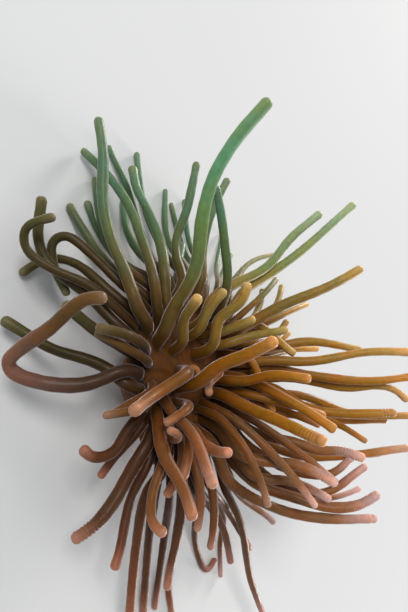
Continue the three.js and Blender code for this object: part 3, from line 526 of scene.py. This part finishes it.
def family_of(tentacle):
    """A tentacle's colours, by name or by where its outer half and its root are."""
    if tentacle["name"] in NAMED_FAMILIES:
        return NAMED_FAMILIES[tentacle["name"]]
    angle = outer_azimuth(tentacle)
    inner = np.clip((INNER_FROM - np.hypot(*tentacle["root"])) / (INNER_FROM - INNER_TO), 0, 1)
    return blended(OUTER_FAMILIES, angle) * (1 - inner) + blended(INNER_FAMILIES, angle) * inner


def along(stops, values, share):
    """Colours at shares of a length, between the stops."""
    return np.stack([np.interp(share, stops, np.array(values)[:, c]) for c in range(3)], -1)


# ------------------------------------------------------------------ the skin's parts
class Skin:
    """One mesh in the making: vertices with their marks, and faces with their places on the
    unwrap."""

    def __init__(self):
        self.points, self.tints, self.strands, self.marks = [], [], [], []
        self.faces, self.spots = [], []
        self.count = 0

    def add(self, points, tints, strands, marks):
        """Takes vertices and gives their indices. A mark is paleness, then depth of wrinkles."""
        self.points.append(points)
        self.tints.append(tints)
        self.strands.append(strands)
        self.marks.append(marks)
        self.count += len(points)
        return np.arange(self.count - len(points), self.count)

    def face(self, corners, spots):
        self.faces.append([int(c) for c in corners])
        self.spots.append(spots)


skin = Skin()
patches = []                    # the unwrap's patches: width, height and their faces


class Patch:
    """A rectangle of the unwrap. Its faces' places are in mm from its own corner."""

    def __init__(self, width, height):
        self.width, self.height, self.at = width, height, (0.0, 0.0)
        patches.append(self)


def sweep(patch, rings, runs, around, downwards=False, close=None):
    """Faces between rings of vertices, whose places on the patch are angle and run."""
    sides = len(rings[0])
    for k in range(len(rings) - 1):
        for i in range(sides):
            n = (i + 1) % sides
            corners = [rings[k][i], rings[k][n], rings[k + 1][n], rings[k + 1][i]]
            spots = [(i, k), (i + 1, k), (i + 1, k + 1), (i, k + 1)]
            if downwards:
                corners, spots = corners[::-1], spots[::-1]
            skin.face(corners, [(patch, around * a / sides, runs[b]) for a, b in spots])
    if close is not None:
        for i in range(sides):
            n = (i + 1) % sides
            corners = [rings[-1][i], rings[-1][n], close]
            spots = [(i, runs[-2]), (i + 1, runs[-2]), (i + 0.5, runs[-1])]
            if downwards:
                corners, spots = corners[::-1], spots[::-1]
            skin.face(corners, [(patch, around * a / sides, b) for a, b in spots])


def ring_runs(length, girth, wrinkled):
    """Where the rings of a tentacle stand: close at its root, and where its tip is wrinkled."""
    runs = [0.0]
    step = FIRST_STEP
    end = length - girth
    while runs[-1] < end - 0.6 * RING_STEP:
        fine = wrinkled > 0 and runs[-1] > end - wrinkled
        step = FINE_STEP if fine else min(step * STEP_GROWTH, RING_STEP)
        runs.append(runs[-1] + step)
    runs[-1] = end
    return np.array(runs)


def strand_ring(angle, radius, across, run):
    """A ring's places in the noise's own space."""
    return np.stack([np.cos(angle) * radius + across, np.sin(angle) * radius,
                     np.full(len(angle), run)], -1)


def grow_tentacle(number, tentacle):
    """Adds one tentacle and gives the indices of its root ring, which lies on the disc."""
    dice = rng(100 + number)
    line = tentacle["line"]
    run = np.concatenate([[0], np.cumsum(np.linalg.norm(np.diff(line[:, :3], axis=0), axis=1))])
    length = run[-1]
    swelling = BLUNT_SWELL * tentacle["blunt"]
    tip_girth = line[-1, 3] * (1 + swelling)
    wrinkled = tentacle["wrinkled"]
    runs = ring_runs(length, tip_girth, wrinkled)
    cap = np.linspace(0, 1, TIP_RINGS + 1)[1:-1]
    cap = np.sin(cap * math.pi / 2)
    every = np.concatenate([runs, runs[-1] + cap * tip_girth])
    at = line_at(line, run, every)
    centre, girth = at[:, :3], at[:, 3].copy()
    swell = np.clip((every - (length - SWELL_FROM)) / SWELL_OVER, 0, 1)
    girth *= 1 + swelling * swell * swell * (3 - 2 * swell)
    phase = dice.uniform(0, TURN, 5)
    girth *= 1 + sum(share * np.sin(every / span + shift)
                     for (share, span), shift in zip(GIRTH_WAVES, phase[[0, 4, 1]]))
    wrinkles_from = length - tip_girth - wrinkled
    depth = np.clip((every - wrinkles_from) / max(wrinkled, 1) * WRINKLE_ONSET, 0, 1)
    depth = depth * (wrinkled > 0)
    pitch = dice.uniform(*WRINKLE_PITCH)
    girth *= 1 - WRINKLE_DEPTH * depth * (0.5 - 0.5 * np.cos(
        TURN * every / pitch + 0.8 * np.sin(every / 4 + phase[2]))) ** 2
    girth[len(runs):] *= (1 - cap ** TIP_ROUND) ** (1 / TIP_ROUND)
    girth *= 1 + ROOT_FLARE * np.exp(-every / FLARE_FALL)
    ahead = np.gradient(centre, axis=0)
    side = np.array([1.0, 0.0, 0.0])
    angle = np.arange(SIDES) / SIDES * TURN
    places, strands = [], []
    for k, (middle, size) in enumerate(zip(centre, girth)):
        tangent = unit(ahead[k])
        side = unit(side - tangent * (side @ tangent))
        other = np.cross(tangent, side)
        oval = 1 + OVAL * np.sin(every[k] / OVAL_WAVE + phase[3])
        ring = (middle + np.outer(np.cos(angle) * size * oval, side)
                + np.outer(np.sin(angle) * size / oval, other))
        if k < len(ROOT_BLEND):
            onto = ring.copy()
            onto[:, 2] = disc_height_at(ring[:, 0], ring[:, 1]) + every[k]
            if k == 0:
                onto[:, 0] = middle[0] + np.cos(angle) * size
                onto[:, 1] = middle[1] + np.sin(angle) * size
                onto[:, 2] = disc_height_at(onto[:, 0], onto[:, 1])
            ring = onto * ROOT_BLEND[k] + ring * (1 - ROOT_BLEND[k])
        ring[:, 2] = np.maximum(ring[:, 2], CLEAR_OF_FLOOR)
        places.append(ring)
        strands.append(strand_ring(angle, STRAND_RADIUS, STRAND_APART * number, every[k]))
    share = np.clip(every / length, 0, 1)
    tint = along(STOPS, tentacle["family"], share) * dice.uniform(*TINT_RANGE)
    # painted shade: the tint is darker at the root, fading out over the first SHADE_OVER mm
    shade = 1 - ROOT_PAINTED_SHADE * (1 - np.clip(every / SHADE_OVER, 0, 1))
    tint = tint * shade[:, None]
    pale_from = length - PALE_FROM - PALE_WRINKLED * (wrinkled > 0)
    pale = np.clip((every - pale_from) / PALE_OVER, 0, 1) ** 2
    rows = len(every)
    tints = np.repeat(tint, SIDES, 0)
    marks = np.repeat(np.stack([pale, depth], -1), SIDES, 0)
    index = skin.add(np.vstack(places), tints, np.vstack(strands), marks).reshape(rows, SIDES)
    tip = skin.add((centre[-1] + unit(ahead[-1]) * (length - every[-1]))[None], tint[-1:],
                   np.array([[float(STRAND_APART * number), 0, length]]),
                   np.array([[pale[-1], depth[-1]]]))[0]
    around = TURN * float(np.mean(at[:, 3]))
    patch = Patch(around, length)
    sweep(patch, list(index), [*every, length], around, close=tip)
    return index[0], places[0]


def disc_tint(x, y):
    radius = np.hypot(x, y)
    streak = 0.5 + 0.5 * fold_wave(azimuth_of(x, y), radius)
    mix = np.clip(0.35 + 0.4 * streak + (radius - 50) / 160, 0, 1)[..., None]
    return DISC_SHADE * mix + DISC_FLESH * (1 - mix)


def inside(point, loop):
    """Whether a point is inside a closed loop of points, in plan."""
    x, y = point
    a, b = loop, np.roll(loop, -1, 0)
    spans = (a[:, 1] > y) != (b[:, 1] > y)
    with np.errstate(divide="ignore", invalid="ignore"):
        cut = a[:, 0] + (y - a[:, 1]) / (b[:, 1] - a[:, 1]) * (b[:, 0] - a[:, 0])
    return bool((spans & (x < cut)).sum() % 2)


def grow_disc(roots):
    """Adds the oral disc's upper face between the tentacles, and gives its two edge rings."""
    angle = np.arange(MARGIN_SIDES) / MARGIN_SIDES * TURN
    heading = np.stack([np.cos(angle), np.sin(angle)], -1)
    edge = heading * (margin_reach(azimuth_of(*heading.T)) * RIM_EDGE)[:, None]
    turn = np.arange(MOUTH_SIDES) / MOUTH_SIDES * TURN
    mouth = MOUTH_RADIUS * np.stack([np.cos(turn), np.sin(turn)], -1)
    rims = [ring[:, :2] for _, ring in roots]
    centres = np.array([rim.mean(0) for rim in rims])
    sizes = np.array([np.linalg.norm(rim - rim.mean(0), axis=1).max() for rim in rims])

    def clear(points, spare):
        """Which points keep clear of the roots, the mouth and the margin."""
        gap = np.linalg.norm(points[:, None] - centres[None], axis=2) - sizes[None]
        radius = np.hypot(*points.T)
        within = radius < margin_reach(azimuth_of(*points.T)) * RIM_EDGE - spare
        return (gap.min(1) > spare) & (radius > MOUTH_RADIUS + spare) & within

    rows = []
    for row, y in enumerate(np.arange(-DISC_HALF, DISC_HALF, DISC_GRID * DISC_ROW)):
        x = np.arange(-DISC_HALF, DISC_HALF, DISC_GRID) + (row % 2) * DISC_GRID / 2
        rows.append(np.stack([x, np.full(len(x), y)], -1))
    grid = np.vstack(rows)
    grid = grid[clear(grid, DISC_SPARE)]
    near_edge = edge * ((np.hypot(*edge.T) - EDGE_ROW) / np.hypot(*edge.T))[:, None]
    near_edge = near_edge[clear(near_edge, EDGE_SPARE)]
    own = np.vstack([grid, near_edge])

    loops = [edge, mouth, *rims]
    owner = np.repeat(np.arange(len(loops) + 1), [*map(len, loops), len(own)])
    everything = np.vstack([*loops, own])
    edges, start = [], 0
    for loop in loops:
        edges += [(start + i, start + (i + 1) % len(loop)) for i in range(len(loop))]
        start += len(loop)
    points, _, triangles, origin, _, _ = delaunay_2d_cdt(
        [Vector(p) for p in everything], edges, [], 0, 1e-5, True)
    if len(points) != len(everything):
        raise ValueError("the roots or the mouth meet on the disc")
    back = np.array([o[0] for o in origin])

    def laid(p):
        xyz = np.column_stack([p, disc_height_at(*p.T)])
        strands = np.column_stack([p[:, 0] + DISC_STRAND, p[:, 1], np.hypot(*p.T)])
        return skin.add(xyz, disc_tint(*p.T), strands, np.tile(DISC_MARK, (len(p), 1)))

    edge_ring, mouth_ring = laid(edge), laid(mouth)
    own_index = laid(own)
    index = np.concatenate([edge_ring, mouth_ring, *[ring for ring, _ in roots], own_index])
    patch = Patch(2 * DISC_HALF, 2 * DISC_HALF)
    for triangle in triangles:
        corners = back[list(triangle)]
        loop = owner[corners[0]]
        if loop < len(loops) and (owner[corners] == loop).all():
            # within the mouth or a root, which the skin leaves open, or outside the margin
            if loop > 0 or not inside(everything[corners].mean(0), edge):
                continue
        skin.face(index[corners], [(patch, *(everything[c] + DISC_HALF)) for c in corners])
    return edge_ring, mouth_ring


def grow_mouth(mouth_ring):
    """Adds the lips, which rise round a long slit, and the throat below it."""
    turn = np.arange(MOUTH_SIDES) / MOUTH_SIDES * TURN
    base = disc_height_at(np.cos(turn) * MOUTH_RADIUS, np.sin(turn) * MOUTH_RADIUS)
    level = base.mean()
    rings, runs, run = [mouth_ring], [0.0], 0.0
    before = (MOUTH_RADIUS, 0.0)
    for radius, height, slit in LIP_PROFILE:
        deep = LIP_FOLD_DEPTH * min(1, (MOUTH_RADIUS - radius) / 3) * (1 - slit)
        fold = 1 + deep * np.cos(LIP_FOLDS * turn)
        shrink = radius / THROAT_FROM if slit == 1.0 else 1.0
        long_half = radius * (1 - slit) + SLIT[0] * shrink * slit
        wide_half = radius * (1 - slit) + SLIT[1] * shrink * slit
        x, y = np.cos(turn) * long_half * fold, np.sin(turn) * wide_half * fold
        blend = np.clip(height / 4, 0, 1) if height > 0 else 1.0
        z = (base if not blend else base * (1 - blend) + level * blend) + height
        run += math.hypot(radius - before[0], height - before[1])
        before = (radius, height)
        # painted shade: the lips darken towards the slit and down the throat, to 0.35 of their
        # colour
        inner = np.clip((radius - 5) / 6, 0, 1)
        tint = LIP_FLESH * (0.35 + 0.65 * inner)
        rings.append(skin.add(np.column_stack([x, y, z]), np.tile(tint, (MOUTH_SIDES, 1)),
                              strand_ring(turn, 8, MOUTH_STRAND, run),
                              np.tile(MOUTH_MARK, (MOUTH_SIDES, 1))))
        runs.append(run)
    # painted shade: the throat's bottom is darkened to 0.3 of the lips' colour
    bottom = skin.add(np.array([[0, 0, level - THROAT_DEPTH - 0.6]]), LIP_FLESH[None] * 0.3,
                      np.array([[float(MOUTH_STRAND), 0, run]]), np.array([MOUTH_MARK]))[0]
    around = TURN * MOUTH_RADIUS
    sweep(Patch(around, run + 4), rings, [*runs, run + 4], around, close=bottom)


def grow_under(edge_ring):
    """Adds the margin, the underside, the ribbed column and the pedal disc down to the floor."""
    angle = np.arange(MARGIN_SIDES) / MARGIN_SIDES * TURN
    azimuth = azimuth_of(np.cos(angle), np.sin(angle))
    reach, roll = margin_reach(azimuth), margin_roll(azimuth)
    middle = DISC_HEIGHT + roll - RIM_HALF
    # rows of radius, height, and how much of the column's colour shows
    rows = [(share * reach, middle - rim_half_at(share), 0.0) for share in RIM_SHARES]
    outer, low = reach * RIM_SHARES[-1], middle - RIM_HALF
    inner, high = COLUMN_TOP
    for share in UNDER_SHARES:
        bow = math.sin(share * math.pi) * UNDER_BOW
        rows.append((outer * (1 - share) + inner * share,
                     low * (1 - share) + high * share + bow, share))
    rows += [(radius, height, 1.0) for radius, height in COLUMN_PROFILE]
    rings, runs, run = [edge_ring], [0.0], 0.0
    last = (RIM_EDGE * DISC_RADIUS, DISC_HEIGHT)
    for radius, height, column in rows:
        radius, height = radius + 0 * angle, height + 0 * angle
        on_wall = column * float(1.0 < height.mean() < 60)
        radius = radius * (1 + 0.015 * np.cos(4 * azimuth + height / 20))
        radius = radius + on_wall * (RIB_DEPTH * np.cos(RIBS * angle) + CREASE_DEPTH * np.sin(
            height / CREASE_SPAN + 2 * np.sin(6 * angle)))
        run += math.hypot(radius.mean() - last[0], height.mean() - last[1])
        last = (radius.mean(), height.mean())
        foot = np.clip((10 - height) / 8, 0, 1)[:, None]
        wall = COLUMN_FLESH * (1 - foot) + FOOT_FLESH * foot
        streaks = (0.9 + 0.1 * np.cos(RIBS * angle))[:, None]
        tint = (DISC_FLESH * (1 - column) + wall * column) * streaks
        xyz = np.column_stack([np.cos(angle) * radius, np.sin(angle) * radius, height])
        rings.append(skin.add(xyz, tint, strand_ring(angle, 50, COLUMN_STRAND, run),
                              np.tile(COLUMN_MARK, (MARGIN_SIDES, 1))))
        runs.append(run)
    bottom = skin.add(np.zeros((1, 3)), FOOT_FLESH[None],
                      np.array([[float(COLUMN_STRAND), 0, run]]), np.array([COLUMN_MARK]))[0]
    around = TURN * UNDER_RADIUS
    sweep(Patch(around, run + 22), rings, [*runs, run + 22], around, downwards=True, close=bottom)


def pack_patches():
    """Lays the patches out on shelves of one square, and gives the square's side."""
    ordered = sorted(patches, key=lambda p: -p.height)
    best = None
    for width in range(500, 1300, 20):
        x, y, shelf, places = 0.0, 0.0, 0.0, []
        for patch in ordered:
            if x + patch.width + PATCH_GAP > width:
                x, y, shelf = 0.0, y + shelf, 0.0
            places.append((x + PATCH_GAP / 2, y + PATCH_GAP / 2))
            x += patch.width + PATCH_GAP
            shelf = max(shelf, patch.height + PATCH_GAP)
        side = max(width, y + shelf)
        if best is None or side < best[0]:
            best = (side, places)
    for patch, place in zip(ordered, best[1]):
        patch.at = place
    return best[0]


# ------------------------------------------------------------------ the material
# What the flesh's own tint is multiplied by, in places.
DARK_SPOT, LIGHT_SPOT = (0.88, 0.86, 0.84, 1), (1.14, 1.13, 1.10, 1)
WARM_PATCH, COOL_PATCH = (1.16, 1.0, 0.78, 1), (0.88, 1.02, 1.12, 1)
FIBRE = (1.34, 1.28, 1.20, 1)
# And what it is mixed with.
PALE_FLESH, PALE_SHARE = (0.66, 0.46, 0.38, 1), 0.15
SPECK_FLESH, SPECK_SHARE = (0.72, 0.56, 0.44, 1), 0.35
GLOSS = {"Subsurface Weight": 0.35, "Subsurface Radius": (1.0, 0.55, 0.30),
         "Subsurface Scale": 0.004, "Specular IOR Level": 0.16, "Coat Weight": 0.14,
         "Coat Roughness": 0.2, "Coat IOR": 1.36, "Sheen Weight": 0.75, "Sheen Roughness": 0.25,
         "Sheen Tint": (1.0, 0.86, 0.91, 1)}


def flesh_material():
    """Moist, slightly translucent flesh: its tint is grown with the skin, and the nodes add
    mottling, fine lengthwise fibres, wrinkles and pale, thin-skinned tips."""
    material = bpy.data.materials.new("flesh")
    material.use_nodes = True
    nodes, links = material.node_tree.nodes, material.node_tree.links
    shader = nodes["Principled BSDF"]

    def node(kind, **values):
        made = nodes.new(kind)
        for key, value in values.items():
            if key in made.inputs:
                made.inputs[key].default_value = value
            else:
                setattr(made, key, value)
        return made

    def attribute(name):
        return node("ShaderNodeAttribute", attribute_name=name)

    def feed(socket, value):
        """Sets a socket, or links it where the value is another node's output."""
        if isinstance(value, (int, float, tuple)):
            socket.default_value = value
        else:
            links.new(value, socket)

    def math_node(operation, a, b):
        made = node("ShaderNodeMath", operation=operation)
        feed(made.inputs[0], a)
        feed(made.inputs[1], b)
        return made.outputs[0]

    def mix(kind, factor, a, b):
        made = node("ShaderNodeMix", data_type="RGBA", blend_type=kind)
        for index, value in ((0, factor), (6, a), (7, b)):
            feed(made.inputs[index], value)
        return made.outputs[2]

    def noise(scale, stretch, detail):
        """Noise in the tentacles' own frame, drawn out along them by the stretch."""
        moved = node("ShaderNodeMapping", Scale=(scale, scale, scale / stretch))
        links.new(attribute("strand").outputs["Vector"], moved.inputs["Vector"])
        made = node("ShaderNodeTexNoise", Scale=1.0, Detail=detail, Roughness=0.55)
        links.new(moved.outputs[0], made.inputs["Vector"])
        return made.outputs[0]

    def ramp(value, low, high, to_low=0.0, to_high=1.0):
        made = node("ShaderNodeMapRange", **{"From Min": low, "From Max": high,
                                             "To Min": to_low, "To Max": to_high})
        links.new(value, made.inputs["Value"])
        return made.outputs[0]

    tint = attribute("tint").outputs["Color"]
    pale, wrinkle = attribute("pale").outputs["Fac"], attribute("wrinkle").outputs["Fac"]
    broad = noise(0.06, 1.8, 2.0)
    mottle = noise(0.22, 1.4, 3.0)
    fibres = noise(1.5, 14.0, 2.0)
    grain = noise(2.4, 1.0, 4.0)

    darker = mix("MULTIPLY", 1.0, tint, DARK_SPOT)
    lighter = mix("MULTIPLY", 1.0, tint, LIGHT_SPOT)
    colour = mix("MIX", ramp(mottle, 0.34, 0.66), darker, lighter)
    colour = mix("MULTIPLY", ramp(broad, 0.50, 0.64), colour, WARM_PATCH)
    colour = mix("MULTIPLY", ramp(broad, 0.50, 0.36), colour, COOL_PATCH)
    colour = mix("MIX", ramp(fibres, 0.40, 0.62, 0.0, 0.30), colour,
                 mix("MULTIPLY", 1.0, tint, FIBRE))
    colour = mix("MIX", math_node("MULTIPLY", pale, PALE_SHARE), colour, PALE_FLESH)
    speck = ramp(grain, 0.58, 0.72, 0.0, 0.16)
    speck = math_node("MULTIPLY", speck, math_node("ADD", wrinkle, SPECK_SHARE))
    colour = mix("MIX", speck, colour, SPECK_FLESH)
    links.new(colour, shader.inputs["Base Color"])
    links.new(ramp(mottle, 0.3, 0.7, 0.40, 0.56), shader.inputs["Roughness"])

    separate = node("ShaderNodeSeparateXYZ")
    links.new(attribute("strand").outputs["Vector"], separate.inputs[0])
    warped = math_node("ADD", separate.outputs[2], math_node("MULTIPLY", mottle, 5.0))
    rings = math_node("SINE", math_node("MULTIPLY", warped, 4.2), 0.0)
    relief = math_node("ADD", math_node("MULTIPLY", fibres, 0.9),
                       math_node("MULTIPLY", grain, 0.5))
    relief = math_node("ADD", relief, math_node("MULTIPLY", math_node(
        "MULTIPLY", rings, wrinkle), 0.35))
    bump = node("ShaderNodeBump", Strength=0.45, Distance=0.0006)
    links.new(relief, bump.inputs["Height"])
    links.new(bump.outputs[0], shader.inputs["Normal"])

    for socket, value in GLOSS.items():
        shader.inputs[socket].default_value = value
    return material


# ------------------------------------------------------------------ growing the animal
# How far from its tip each of these tentacles is drawn in and wrinkled. Of the others on one
# side, a share are wrinkled over about the same length.
WRINKLED = {"tentacle_right_6": 34, "tentacle_lower_1": 40, "tentacle_lower_3": 46,
            "tentacle_lower_4": 26, "tentacle_lower_2": 20, "tentacle_under_4": 30,
            "tentacle_under_1": 26, "tentacle_right_7": 16}
WRINKLED_SIDE, WRINKLED_SHARE, WRINKLED_LENGTH = (225, 300), 0.7, 26
WRINKLED_RANGE, BLUNT_RANGE = (0.6, 1.2), (0.2, 1.0)

tentacles = read_tentacles()
spread_roots(tentacles)
lay_lines(tentacles)
push_apart(tentacles)
for number, tentacle in enumerate(tentacles):
    dice = rng(number)
    wrinkled = 0
    if WRINKLED_SIDE[0] < outer_azimuth(tentacle) < WRINKLED_SIDE[1]:
        if dice.uniform() < WRINKLED_SHARE:
            wrinkled = WRINKLED_LENGTH * dice.uniform(*WRINKLED_RANGE)
    tentacle["wrinkled"] = WRINKLED.get(tentacle["name"], wrinkled)
    tentacle["blunt"] = dice.uniform(*BLUNT_RANGE)
    tentacle["family"] = family_of(tentacle)

roots = [grow_tentacle(number, tentacle) for number, tentacle in enumerate(tentacles)]
edge_ring, mouth_ring = grow_disc(roots)
grow_mouth(mouth_ring)
grow_under(edge_ring)
side = pack_patches()

mesh = bpy.data.meshes.new("anemone_skin")
mesh.from_pydata((np.vstack(skin.points) * MM).tolist(), [], skin.faces)
mesh.polygons.foreach_set("use_smooth", [True] * len(mesh.polygons))
unwrap = mesh.uv_layers.new(name="OFBake")
spots = [((patch.at[0] + u) / side, (patch.at[1] + v) / side)
         for face in skin.spots for patch, u, v in face]
unwrap.uv.foreach_set("vector", np.array(spots, np.float32).ravel())
marks = np.vstack(skin.marks)
for name, kind, field, values in (
        ("tint", "FLOAT_COLOR", "color", np.insert(np.vstack(skin.tints), 3, 1, axis=1)),
        ("strand", "FLOAT_VECTOR", "vector", np.vstack(skin.strands)),
        ("pale", "FLOAT", "value", marks[:, 0]), ("wrinkle", "FLOAT", "value", marks[:, 1])):
    layer = mesh.attributes.new(name, kind, "POINT")
    layer.data.foreach_set(field, values.astype(np.float32).ravel())
mesh.materials.append(flesh_material())
mesh.update()
body = placed("anemone_skin", mesh)
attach(body, "root")
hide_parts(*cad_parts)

# ------------------------------------------------------------------ floor, light and camera
EYE_RISE = math.radians(42)     # the camera looks down by this much
EYE_TURN = math.radians(8)      # and the view is turned by this much
EYE_DISTANCE = 500.0            # from the middle of the disc
FOCAL_PIXELS, FRAME_WIDTH, FRAME_HEIGHT = 454.0, 408, 612
DISC_PIXEL = (196, 378)         # where the middle of the disc stands in the picture
SENSOR = 36.0
FLOOR_REACH = 40.0              # metres to each side


def place_camera():
    """The animal is seen lying over on its side: up in the picture is towards -X."""
    ahead = Vector((0, math.cos(EYE_RISE), -math.sin(EYE_RISE)))
    out = Vector((0, math.sin(EYE_RISE), math.cos(EYE_RISE)))
    left = Vector((-1, 0, 0))
    right = math.cos(EYE_TURN) * out - math.sin(EYE_TURN) * left
    up = math.sin(EYE_TURN) * out + math.cos(EYE_TURN) * left
    scale = EYE_DISTANCE / FOCAL_PIXELS
    place = (Vector((0, 0, DISC_HEIGHT)) - EYE_DISTANCE * ahead
             - right * (DISC_PIXEL[0] - FRAME_WIDTH / 2) * scale
             - up * (FRAME_HEIGHT / 2 - DISC_PIXEL[1]) * scale)
    data = bpy.data.cameras.new("camera")
    data.sensor_width = SENSOR
    data.lens = SENSOR * FOCAL_PIXELS / FRAME_HEIGHT
    data.clip_start, data.clip_end = 0.01, 50
    camera = placed("camera", data)
    axes = Matrix((right, up, -ahead)).transposed().to_4x4()
    camera.matrix_world = Matrix.Translation(place * MM) @ axes
    bpy.context.scene.camera = camera


def lay_floor():
    corners = [(-1, -1), (1, -1), (1, 1), (-1, 1)]
    data = bpy.data.meshes.new("floor")
    data.from_pydata([(x * FLOOR_REACH, y * FLOOR_REACH, 0) for x, y in corners],
                     [], [(0, 1, 2, 3)])
    material = bpy.data.materials.new("floor")
    material.use_nodes = True
    shader = material.node_tree.nodes["Principled BSDF"]
    shader.inputs["Base Color"].default_value = (0.56, 0.57, 0.58, 1)
    shader.inputs["Roughness"].default_value = 0.9
    data.materials.append(material)
    floor = placed("floor", data)


def add_sun(name, ahead, energy, angle, colour):
    sun = bpy.data.lights.new(name, "SUN")
    sun.energy, sun.angle, sun.color = energy, math.radians(angle), colour
    placed(name, sun).rotation_euler = Vector(ahead).to_track_quat("-Z", "Y").to_euler()


def light_scene():
    """A broad soft key from the viewer's upper side, and two low lamps behind the animal
    that draw the edges of its tentacles."""
    world = bpy.data.worlds.new("world")
    world.use_nodes = True
    sky = world.node_tree.nodes["Background"]
    sky.inputs["Color"].default_value = (0.92, 0.96, 1.0, 1)
    sky.inputs["Strength"].default_value = 0.55
    bpy.context.scene.world = world
    add_sun("key", (0.8, 0.6, -1.25), 2.1, 24, (1.0, 0.97, 0.92))
    add_sun("rim", (0.45, -0.85, -0.2), 2.9, 16, (1.0, 0.95, 0.9))
    add_sun("rim_low", (-0.6, -0.75, -0.18), 2.2, 16, (1.0, 0.93, 0.88))
    bpy.context.scene.view_settings.view_transform = "Standard"


place_camera()
lay_floor()
light_scene()
